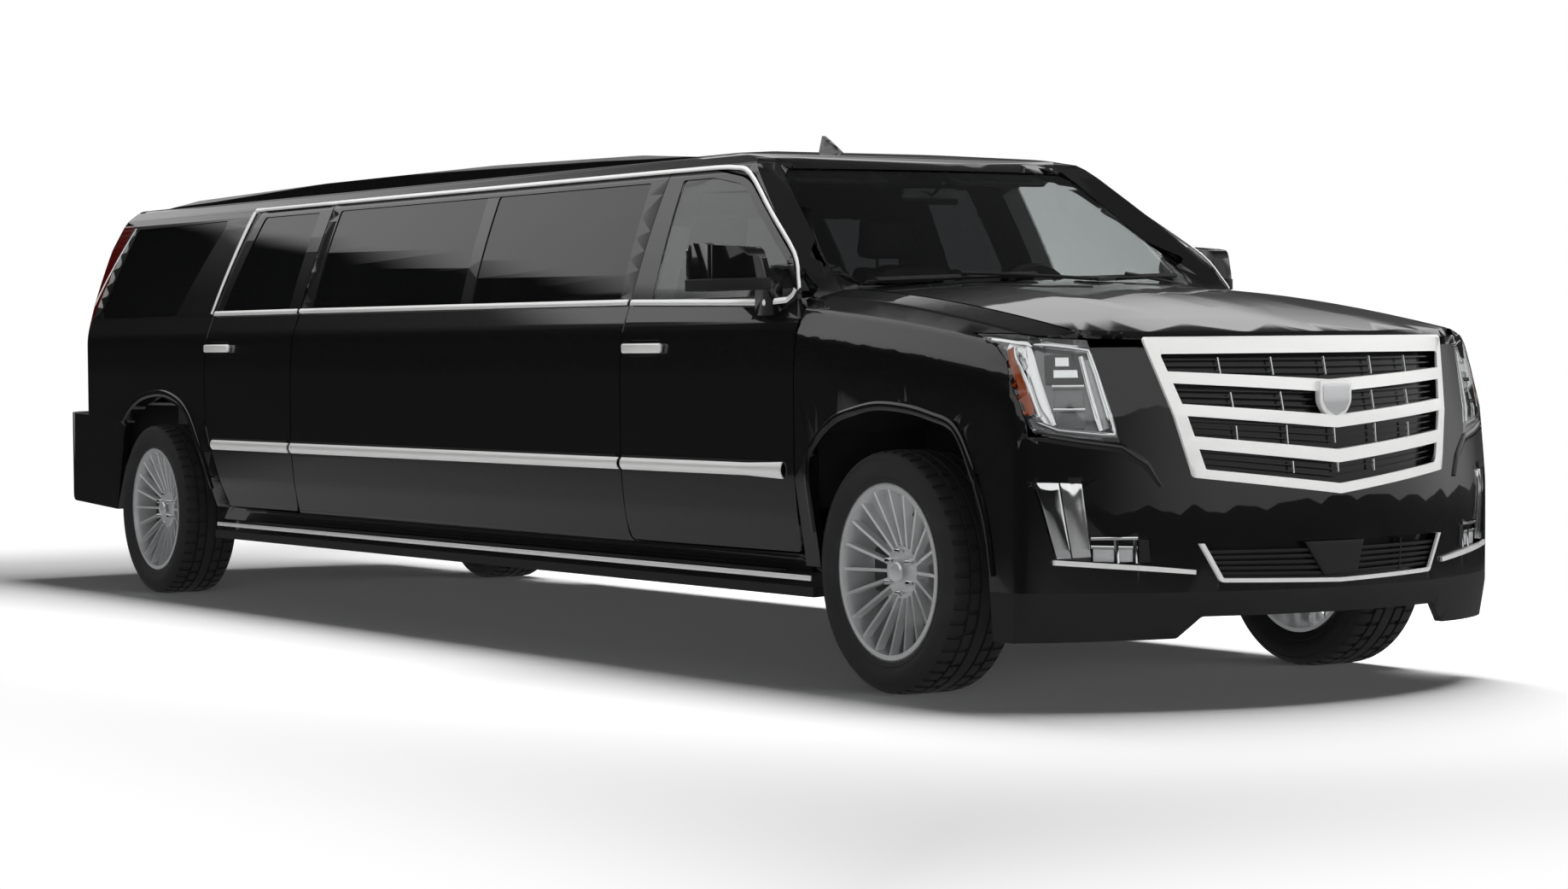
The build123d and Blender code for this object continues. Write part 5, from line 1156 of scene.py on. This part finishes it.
class LIMO_OT_wheels(bpy.types.Operator):
    """Tyres with treads, rims with lips, lugs and caps, brake discs and calipers."""

    bl_idname = "limousine.wheels"
    bl_label = "Wheels"

    def execute(self, context):
        tyre, caliper = self.tyre(), self.caliper()
        trims = self.trims()
        for end, side, carrier in WHEELS:
            sign = 1.0 if side == "left" else -1.0
            axle = FRONT_AXLE if end == "front" else REAR_AXLE
            body = f"wheel_{end}_{side}"
            move = (Matrix.Translation((axle, sign * WHEEL_Y, AXLE_Z))
                    @ Matrix.Scale(sign, 4, (0, 1, 0)))
            settle(twin(tyre, move), f"tyre_{end}_{side}_worn", "tyre_rubber", body,
                   (f"tyre_{end}_{side}",), 40.0)
            dressed_copy(f"rim_{end}_{side}", f"rim_{end}_{side}_cast", "alloy", 30.0, 0.0016)
            for part, name, finish in trims:
                settle(twin(part, move), f"wheel_{name}_{end}_{side}", finish, body)
            settle(twin(caliper, move), f"caliper_{end}_{side}", "engine_iron", carrier)
        for pattern in [tyre, caliper] + [part for part, _, _ in trims]:
            bpy.data.objects.remove(pattern)
        return {"FINISHED"}

    def tyre(self):
        """Tyre about the origin, its axis along y."""
        tread = []
        for place in GROOVES:
            for drop, share in ((0.0, 1.0), (GROOVE_DEPTH, 0.6), (GROOVE_DEPTH, -0.6),
                                (0.0, -1.0)):
                tread.append((TREAD_R - drop, place + GROOVE_HALF * share))
        half = list(TYRE_HALF) + tread
        profile = half + [(r, -a) for r, a in reversed(half)]
        piece = turned(profile + list(TYRE_INSIDE), steps=TREAD_STEPS)

        def sipe(centre, normal):
            turn = math.atan2(centre.z, centre.x) % (2 * math.pi)
            index = int(turn / (2 * math.pi) * TREAD_STEPS)
            out = abs(centre.y)
            if math.hypot(centre.x, centre.z) < TREAD_EDGE_R:
                return False
            if out > SHOULDER:
                return index % 3 == 0
            return index % 4 == 1 and BLOCK[0] < out < BLOCK[1]
        pick_faces(piece, sipe)
        bpy.ops.mesh.extrude_region_shrink_fatten(
            TRANSFORM_OT_shrink_fatten={"value": -SIPE_DEPTH})
        mode("OBJECT")
        right_way_out(piece)
        return piece

    def trims(self):
        """Lip, cap, lugs and disc about the origin, outwards along y, with their finishes."""
        lip = turned([(0.2975, 0.104), (0.2995, 0.1165), (0.2965, 0.1205), (0.2900, 0.1200),
                      (0.2830, 0.1130), (0.2800, 0.1040), (0.2975, 0.104)], steps=128)
        cap = turned([(0.0002, 0.080), (0.0330, 0.080), (0.0340, 0.0860), (0.0300, 0.0900),
                      (0.0290, 0.0885), (0.0180, 0.0895), (0.0002, 0.0900)], steps=64)
        nuts = []
        for k in range(6):
            turn = k * math.pi / 3 + math.pi / 6
            free_hands()
            bpy.ops.mesh.primitive_cylinder_add(
                vertices=6, radius=LUG_R, depth=LUG_LENGTH, rotation=(math.pi / 2, 0, turn),
                location=(LUG_CIRCLE * math.cos(turn), LUG_Y, LUG_CIRCLE * math.sin(turn)))
            nut = bpy.context.object
            keep_place()
            use_modifier(nut, "BEVEL", width=0.0028, segments=3)
            nuts.append(nut)
        disc = turned([(0.070, 0.012), (0.182, 0.012), (0.182, -0.014), (0.070, -0.014),
                       (0.070, 0.012)])
        return ((lip, "lip", "polished_alloy"), (cap, "cap", "alloy"),
                (joined(nuts), "lugs", "chrome"), (disc, "disc", "brake_disc"))

    def caliper(self):
        """Brake caliper over the rear of the disc, as a rounded block."""
        return rounded_box([-0.205, -0.044, -0.075], [-0.118, 0.040, 0.075], 0.014)


# ---------------------------------------------------------------- cabin
DRIVER_Y = 0.400
FLOOR_Z = 0.450
REAR_FLOOR_Z = 0.640
SEAT_FLOOR = FLOOR_Z + 0.002
GROOVE = 0.007               # depth of a cushion's seams
PULL = 0.025                 # how far a cushion's sides pull in, against its half width


def pad(size, crown, grooves=()):
    """Crowned cushion about the origin, facing up; its sides pull in between its corners."""
    free_hands()
    bpy.ops.mesh.primitive_cube_add(size=2.0, location=(0, 0, 0))
    piece = bpy.context.object
    pick_all(piece)
    bpy.ops.mesh.subdivide(number_cuts=13)
    mode("OBJECT")
    half = [s / 2 for s in size]
    for v in piece.data.vertices:
        a, b, c = v.co
        rim = max(abs(a), abs(b))
        corner = (a ** 8 + b ** 8) ** 0.125
        slim = rim / corner if corner > 1e-6 else 1.0
        swell = (1 - a * a) * (1 - b * b)
        height = half[2] * c * (1 - 0.5 * rim ** 12)
        if c > 0:
            height += crown * swell * c
            for place in grooves:
                height -= GROOVE * c * math.exp(-((a - place) / 0.035) ** 2)
            height -= GROOVE * c * math.exp(-((rim - 0.86) / 0.03) ** 2)
        v.co = (half[0] * a * slim * (1 - PULL * (1 - b * b)),
                half[1] * b * slim * (1 - PULL * (1 - a * a)), height)
    use_modifier(piece, "SUBSURF", levels=1, render_levels=1)
    return piece


def laid(piece, centre, lean=0.0):
    """Cushion leaned back about y by an angle in degrees, and placed."""
    piece.data.transform(Matrix.Translation(centre)
                         @ Matrix.Rotation(math.radians(lean), 4, "Y"))
    return piece


class LIMO_OT_cabin(bpy.types.Operator):
    """Front seats, console, lounge benches, headlining, sun visors and cabin mirror."""

    bl_idname = "limousine.cabin"
    bl_label = "Cabin"

    def execute(self, context):
        for side, sign in SIDES:
            self.front_seat(side, sign * DRIVER_Y)
        self.front_bases()
        self.lounge()
        self.linings()
        return {"FINISHED"}

    def soft(self, piece, name):
        """Leather cushion, shaded smooth."""
        settle(piece, name, "leather", angle=60.0)

    def front_seat(self, side, y):
        """Cushion, back, side bolsters and headrest of one front seat."""
        self.soft(laid(pad((0.46, 0.36, 0.13), 0.022, (-0.45, 0.0, 0.45)), (1.655, y, 0.905),
                       -5), f"seat_cushion_{side}")
        self.soft(laid(pad((0.58, 0.34, 0.11), 0.020, (-0.5, -0.1, 0.3, 0.65)),
                       (1.300, y, 1.190), -75), f"seat_back_{side}")
        wings = [laid(pad(size, crown), (x, y + s * aside, z), lean)
                 for size, crown, x, aside, z, lean in (
                     ((0.46, 0.090, 0.15), 0.015, 1.650, 0.215, 0.920, -5),
                     ((0.56, 0.085, 0.14), 0.012, 1.305, 0.205, 1.180, -75)) for s in (-1, 1)]
        self.soft(joined(wings), f"seat_bolsters_{side}")
        self.soft(laid(pad((0.165, 0.27, 0.085), 0.012), (1.203, y, 1.580), -82),
                  f"headrest_{side}")
        posts = [tube([(1.215, y + s * 0.06, 1.43), (1.205, y + s * 0.06, 1.53)], 0.006)
                 for s in (-1, 1)]
        settle(joined(posts), f"headrest_posts_{side}", "black_plastic")

    def front_bases(self):
        """Seat boxes and back shells under the front cushions, with a console between."""
        parts = []
        for y in (DRIVER_Y, -DRIVER_Y):
            parts.append(rounded_box([1.370, y - 0.230, SEAT_FLOOR], [1.820, y + 0.230, 0.860],
                                     0.03, 3, (0.96, 0.98)))
            shell = rounded_box([-0.300, -0.235, -0.030], [0.300, 0.235, 0.030], 0.028)
            parts.append(laid(shell, (1.237, y, 1.170), -75))
        settle(joined(parts), "front_seat_bases", "cabin_trim", "chassis", ("front_seats",))
        console = [rounded_box([1.250, -0.115, SEAT_FLOOR], [2.260, 0.115, 0.880], 0.03),
                   rounded_box([1.260, -0.105, 0.875], [1.620, 0.105, 0.930], 0.02)]
        settle(joined(console), "console", "cabin_trim")

    def lounge(self):
        """Side bench along the right wall and the bench across the rear."""
        start, end, count = -1.350, 0.970, 4
        length = (end - start) / count
        for k in range(count):
            x = start + length * (k + 0.5)
            seat = pad((length - 0.012, 0.40, 0.13), 0.025, (-0.5, 0.0, 0.5))
            self.soft(laid(seat, (x, -0.600, 0.740)), f"bench_cushion_{k + 1}")
            back = pad((length - 0.012, 0.44, 0.10), 0.020, (-0.5, 0.0, 0.5))
            back.data.transform(Matrix.Translation((x, -0.845, 1.010))
                                @ Matrix.Rotation(math.radians(-83), 4, "X"))
            self.soft(back, f"bench_back_{k + 1}")
        bases = [rounded_box([start, -0.860, SEAT_FLOOR], [end, -0.430, 0.690], 0.015)]
        width = 1.26 / 3
        for k in range(3):
            y = -0.63 + width * (k + 0.5)
            seat = pad((0.44, width - 0.010, 0.13), 0.025, (-0.4, 0.2))
            self.soft(laid(seat, (-2.420, y, 0.745), -3), f"rear_cushion_{k + 1}")
            back = pad((0.56, width - 0.010, 0.11), 0.020, (-0.4, 0.0, 0.4))
            self.soft(laid(back, (-2.745, y, 1.060), -77), f"rear_back_{k + 1}")
        bases += [rounded_box([-2.640, -0.640, REAR_FLOOR_Z + 0.004], [-2.300, 0.640, 0.700],
                              0.012),
                  laid(rounded_box([-0.300, -0.640, -0.02], [0.300, 0.640, 0.02], 0.012),
                       (-2.815, 0.0, 1.020), -77)]
        settle(joined(bases), "lounge_bases", "cabin_trim", "chassis", ("lounge_seats",))

    def linings(self):
        """Headlining under the roof, sun visors and cabin mirror."""
        lining = rounded_box([-3.700, -0.610, 1.802], [1.880, 0.610, 1.812], 0.004, 2)
        settle(lining, "headlining", "headliner")
        visors = [laid(pad((0.17, 0.44, 0.022), 0.002), (1.960, s * 0.36, 1.786), 24)
                  for s in (-1, 1)]
        settle(joined(visors), "sun_visors", "headliner")
        mirror = rounded_box([2.070, -0.125, 1.672], [2.092, 0.125, 1.736], 0.010)
        stem = tube([(2.090, 0.0, 1.705), (2.150, 0.0, 1.735), (2.170, 0.0, 1.748)], 0.007)
        settle(joined([mirror, stem]), "cabin_mirror", "gloss_black")


# ---------------------------------------------------------------- mirrors, wipers and tail
MIRROR_PLAN = ((2.168, 1.002), (2.173, 1.113), (2.200, 1.126), (2.370, 1.131), (2.440, 1.115),
               (2.568, 1.045), (2.588, 1.002))
MIRROR_SPLIT_Z = 1.392
WIPERS = ((-0.660, 1.372, -0.040, 1.392), (0.060, 1.372, 0.680, 1.392))
TAIL_POST = (-3.700, 0.640)
AHEAD_X, BEHIND_X = 5.2, -6.0          # clear of the nose and of the tail
SCREEN_X, TAIL_X = 2.70, -4.1          # where nothing is felt
RAY_REACH = 5.0


def on_screen(y, z, lift):
    """Point on the windscreen at a distance from the middle and a height."""
    hit, normal, _, _ = skin_tree(["windscreen", "bulkhead", "hood"]).ray_cast(
        Vector((AHEAD_X, y, z)), Vector((-1, 0, 0)), RAY_REACH)
    if hit is None:
        return Vector((SCREEN_X, y, z))
    return hit + normal * (lift if normal.x > 0 else -lift)


def on_tail(y, z, lift):
    """Point on the tail at a distance from the middle and a height."""
    hit = skin_tree(["tailgate", "tailgate_glass", "tail_lamps", "rear_bumper", "floor_pan",
                     "body_side_left", "body_side_right"]).ray_cast(
        Vector((BEHIND_X, y, z)), Vector((1, 0, 0)), RAY_REACH)[0]
    return Vector(((hit.x if hit is not None else TAIL_X) - lift, y, z))


def round_tail(u, z, lift):
    """Point on the left rear corner, felt slantwise."""
    way = Vector((-math.cos(u), math.sin(u), 0.0))
    post = Vector((*TAIL_POST, z))
    hit = skin_tree(["tail_lamps", "body_side_left", "tailgate"]).ray_cast(
        post + way * 1.5, -way, 1.5)[0]
    return (hit if hit is not None else post + way * 0.45) + way * lift


class LIMO_OT_fittings(bpy.types.Operator):
    """Mirror glasses and caps, wipers, tail lamp guides with a faint painted glow, rear trim and
    exhaust tip.
    """

    bl_idname = "limousine.fittings"
    bl_label = "Mirrors, wipers and tail"

    def execute(self, context):
        for side, sign in SIDES:
            self.mirror(side, sign)
        self.wipers()
        self.tail()
        return {"FINISHED"}

    def mirror(self, side, sign):
        """Lower plastic shell and glass of one door mirror."""
        rows = [(x, sign * y) for x, y in MIRROR_PLAN]
        shell = plate(smooth_round(rows, 0.03), 1.3505, MIRROR_SPLIT_Z, "top", 0.004)
        settle(shell, f"mirror_shell_{side}", "black_plastic", f"front_door_{side}")
        inner, outer = sorted((sign * 1.012, sign * 1.108))
        glass = rounded_box([2.176, inner, 1.378], [2.184, outer, 1.500], 0.004)
        settle(glass, f"mirror_glass_{side}", "mirror_glass", f"front_door_{side}")

    def wipers(self):
        """Two blades parked low on the screen, with their arms."""
        parts = []
        for y0, z0, y1, z1 in WIPERS:
            parts.append(ribbon([(y0, z0), (y1, z1)], 0.010, 0.002, raised(on_screen, 0.010),
                                0.012, 0.06))
            foot = on_screen(y1 + 0.03, z1 - 0.030, 0.016)
            middle = on_screen((y0 + y1) / 2, (z0 + z1) / 2 + 0.004, 0.022)
            parts.append(tube([foot, foot.lerp(middle, 0.5) + Vector((0, 0, 0.006)), middle],
                              0.0065))
        settle(joined(parts), "wipers", "black_plastic")

    def tail(self):
        """Pale guides in the tail lamps with a faint painted glow, bar, stop lamp, wiper,
        reflectors, step pad and tip.
        """
        # pale strips along the tail lamps' clear edges; their faint glow is painted light
        settle(both(ribbon([(0.72, 1.150, 0.6), (0.72, 1.400), (0.72, 1.700),
                            (0.72, 1.775, 0.6)], 0.030, 0.002, round_tail, 0.003, 0.05)),
               "tail_guides", "painted_glow_strip")
        bar = ribbon([(-0.600, 1.045, 0.6), (-0.560, 1.045), (0.560, 1.045),
                      (0.600, 1.045, 0.6)], 0.030, 0.006, raised(on_tail, 0.002), 0.005, 0.08, 6)
        settle(bar, "tailgate_bar", "bright_trim", "tailgate")
        stop = ribbon([(-0.230, 1.855), (0.230, 1.855)], 0.020, 0.003, raised(on_tail, 0.002),
                      0.006, 0.06)
        settle(stop, "high_stop_lamp", "tail_lens", "tailgate")
        wiper = [ribbon([(-0.02, 1.425), (0.380, 1.470)], 0.012, 0.002, raised(on_tail, 0.010),
                        0.010, 0.06),
                 turned([(0.001, -0.020), (0.022, -0.020), (0.024, 0.006), (0.016, 0.016),
                         (0.001, 0.018)], on_tail(-0.02, 1.425, 0.0), (-1, 0, 0), 40)]
        settle(joined(wiper), "rear_wiper", "black_plastic", "tailgate")
        settle(both(patch(square(0.600, 0.560, 0.780, 0.595), on_tail, 0.001, 0.004, 0.0012)),
               "rear_reflectors", "tail_lens")
        low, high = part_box("rear_bumper")
        top = high[2]
        ribs = []
        for k in range(6):
            x = low[0] + 0.050 + 0.022 * k
            ribs.append(rounded_box([x, -0.640, top - 0.012], [x + 0.010, 0.640, top + 0.004],
                                    0.002, 2))
        settle(joined(ribs), "step_pad", "seal_rubber")
        low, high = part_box("exhaust")
        end = (low[0] + 0.100, (low[1] + high[1]) / 2, self.pipe_height())
        settle(turned([(0.030, 0.0), (0.036, 0.0), (0.038, 0.110), (0.034, 0.116),
                       (0.030, 0.110), (0.030, 0.0)], end, (-1, 0, 0), 64),
               "exhaust_tip", "exhaust_steel")

    def pipe_height(self):
        """Height of the exhaust's end."""
        points = NODES["exhaust"].data.vertices
        first = min(v.co.x for v in points)
        heights = [v.co.z for v in points if v.co.x < first + 0.01]
        return (min(heights) + max(heights)) / 2


# ---------------------------------------------------------------- studio
EYE = (13.118, -7.5216, 1.150)
YAW, PITCH, ROLL = 2.58461, -0.02703, -0.00976
FLOOR_REACH = 40.0
LIGHT_AT, LIGHT_SIZE, LIGHT_LEAN = (1.2, 1.3, 7.0), (9.0, 3.0), -8
WHITE = (1, 1, 1, 1)


class LIMO_OT_studio(bpy.types.Operator):
    """White studio: floor, soft light, backdrop and the camera."""

    bl_idname = "limousine.studio"
    bl_label = "Studio"

    def execute(self, context):
        settings = context.scene.limousine_stage
        self.floor(list(settings.floor))
        self.backdrop()
        self.lights(settings.key)
        self.camera(settings.lens)
        return {"FINISHED"}

    def floor(self, colour):
        """Pale floor that keeps the car's shadow and turns white far out."""
        g = new_finish("studio_floor")
        path = g.rays()
        fine = g.noise(0.4, 3.0)
        near = g.add("BsdfDiffuse", sockets={
            "Color": g.blend(fine * 0.3, colour, shade(colour, 0.985)), "Roughness": 0.3})
        white, grey, black = (g.add("Emission", sockets={"Color": WHITE, "Strength": level})
                              for level in (1.0, 0.266, 0.006))
        beside = (g.axis("Y").math("ABSOLUTE") - HALF_WIDTH).held(0.0, FLOOR_REACH)
        ahead = (g.axis("X").math("ABSOLUTE") - CAD_BOX[1][0]).held(0.0, FLOOR_REACH)
        away = beside.math("MAXIMUM", ahead)
        dim = g.add("MixShader", sockets={0: away.step(1.0, 5.5), 1: grey, 2: black})
        seen = g.add("MixShader", sockets={0: away.step(1.2, 3.2), 1: near, 2: white})
        g.finish(g.add("MixShader", sockets={0: path["Is Glossy Ray"], 1: seen, 2: dim}))
        free_hands()
        bpy.ops.mesh.primitive_plane_add(size=2 * FLOOR_REACH, location=(0, 0, -0.001))
        mode("EDIT")
        bpy.ops.mesh.subdivide(number_cuts=3)
        mode("OBJECT")
        ground = bpy.context.object
        keep_place()
        ground.name = "studio_floor"
        ground.data.materials.append(FINISHES["studio_floor"])

    def backdrop(self):
        """White all round; paint and chrome see soft panels above a dark band."""
        world = bpy.data.worlds.new("studio")
        world.use_nodes = True
        bpy.context.scene.world = world
        g = Graph(world.node_tree)
        split = g.node("SeparateXYZ", sockets={"Vector": g.add("TexCoord", out=0)})
        ahead, aside, rise = (Value(g.tree, split.outputs[name]) for name in "XYZ")
        front = (ahead * 0.75 + aside * 0.66).step(0.25, 0.8) * (0.95 - rise).step(0.0, 0.3)
        left = aside.step(-0.06, 0.10)
        panel = rise.step(0.310, 0.330) * (1.0 - rise.step(0.72, 0.95) * 0.55)
        band = rise.step(0.16, 0.30) * (1.0 - rise.step(0.34, 0.50))
        glossy = (0.004 + front * 0.75 + (1.0 - left) * panel * 0.95
                  + left * (0.04 + band * 0.80)).held()
        path = g.rays()
        outdoors = (1.0 - path["Diffuse Depth"].held() * 0.95) * (1.0 - rise.step(0.10, 0.32))
        plain = path["Is Camera Ray"].math("MAXIMUM", path["Is Transmission Ray"] * outdoors)
        low = 1.0 - rise.step(0.03, 0.22)
        ambient = 0.02 + low * (ahead.step(0.25, 0.85) * 3.4 + (-1.0 * aside).step(0.1, 0.7) * 1.4)
        level = plain + (1.0 - plain) * (path["Is Glossy Ray"] * glossy
                                         + (1.0 - path["Is Glossy Ray"]) * ambient)
        g.finish(g.add("Background", sockets={"Color": WHITE, "Strength": level}), "World")

    def lights(self, power):
        """One large soft light over the car, towards its left."""
        lamp = bpy.data.lights.new("overhead", "AREA")
        lamp.shape = "RECTANGLE"
        lamp.size, lamp.size_y = LIGHT_SIZE
        lamp.energy = power
        holder = bpy.data.objects.new("overhead", lamp)
        bpy.context.scene.collection.objects.link(holder)
        holder.location = LIGHT_AT
        holder.rotation_euler = (math.radians(LIGHT_LEAN), 0, 0)
        holder.visible_glossy = False
        holder.visible_transmission = False

    def camera(self, lens):
        """Camera low in front of the car's right side."""
        ahead = Vector((math.cos(PITCH) * math.cos(YAW), math.cos(PITCH) * math.sin(YAW),
                        math.sin(PITCH)))
        right = Vector((math.sin(YAW), -math.cos(YAW), 0.0))
        up = right.cross(ahead)
        level = math.cos(ROLL) * right + math.sin(ROLL) * up
        upright = math.cos(ROLL) * up - math.sin(ROLL) * right
        data = bpy.data.cameras.new("camera")
        data.lens = lens
        data.sensor_width = 36.0
        data.clip_end = 200.0
        eye = bpy.data.objects.new("camera", data)
        bpy.context.scene.collection.objects.link(eye)
        turn = Matrix((level, upright, -ahead)).transposed().to_4x4()
        eye.matrix_world = Matrix.Translation(EYE) @ turn
        bpy.context.scene.camera = eye
        bpy.context.scene.view_settings.view_transform = "Standard"


# ---------------------------------------------------------------- panel and registration
STEPS = (LIMO_OT_finishes, LIMO_OT_panels, LIMO_OT_brightwork, LIMO_OT_nose, LIMO_OT_wheels,
         LIMO_OT_cabin, LIMO_OT_fittings, LIMO_OT_studio)


class LIMO_PT_sidebar(bpy.types.Panel):
    """Sidebar panel with the car's settings and the steps that build it."""

    bl_idname = "LIMO_PT_sidebar"
    bl_label = "Limousine"
    bl_space_type = "VIEW_3D"
    bl_region_type = "UI"
    bl_category = "Limousine"

    def draw(self, context):
        for name in ("paint", "trim", "hide", "moulding", "surround"):
            self.layout.prop(context.scene.limousine_body, name)
        for name in ("floor", "lens", "key"):
            self.layout.prop(context.scene.limousine_stage, name)
        for step in STEPS:
            self.layout.operator(step.bl_idname)


CLASSES = (BodySettings, StageSettings) + STEPS + (LIMO_PT_sidebar,)


def register():
    """Register the classes and hang the settings on the scene."""
    for kind in CLASSES:
        bpy.utils.register_class(kind)
    bpy.types.Scene.limousine_body = bpy.props.PointerProperty(type=BodySettings)
    bpy.types.Scene.limousine_stage = bpy.props.PointerProperty(type=StageSettings)


def unregister():
    """Take the settings and classes away again."""
    del bpy.types.Scene.limousine_stage
    del bpy.types.Scene.limousine_body
    for kind in reversed(CLASSES):
        bpy.utils.unregister_class(kind)


def main():
    """Dress the frame, step by step."""
    register()
    for step in STEPS:
        group, name = step.bl_idname.split(".")
        getattr(getattr(bpy.ops, group), name)()
    free_hands()


if __name__ == "__main__":
    main()
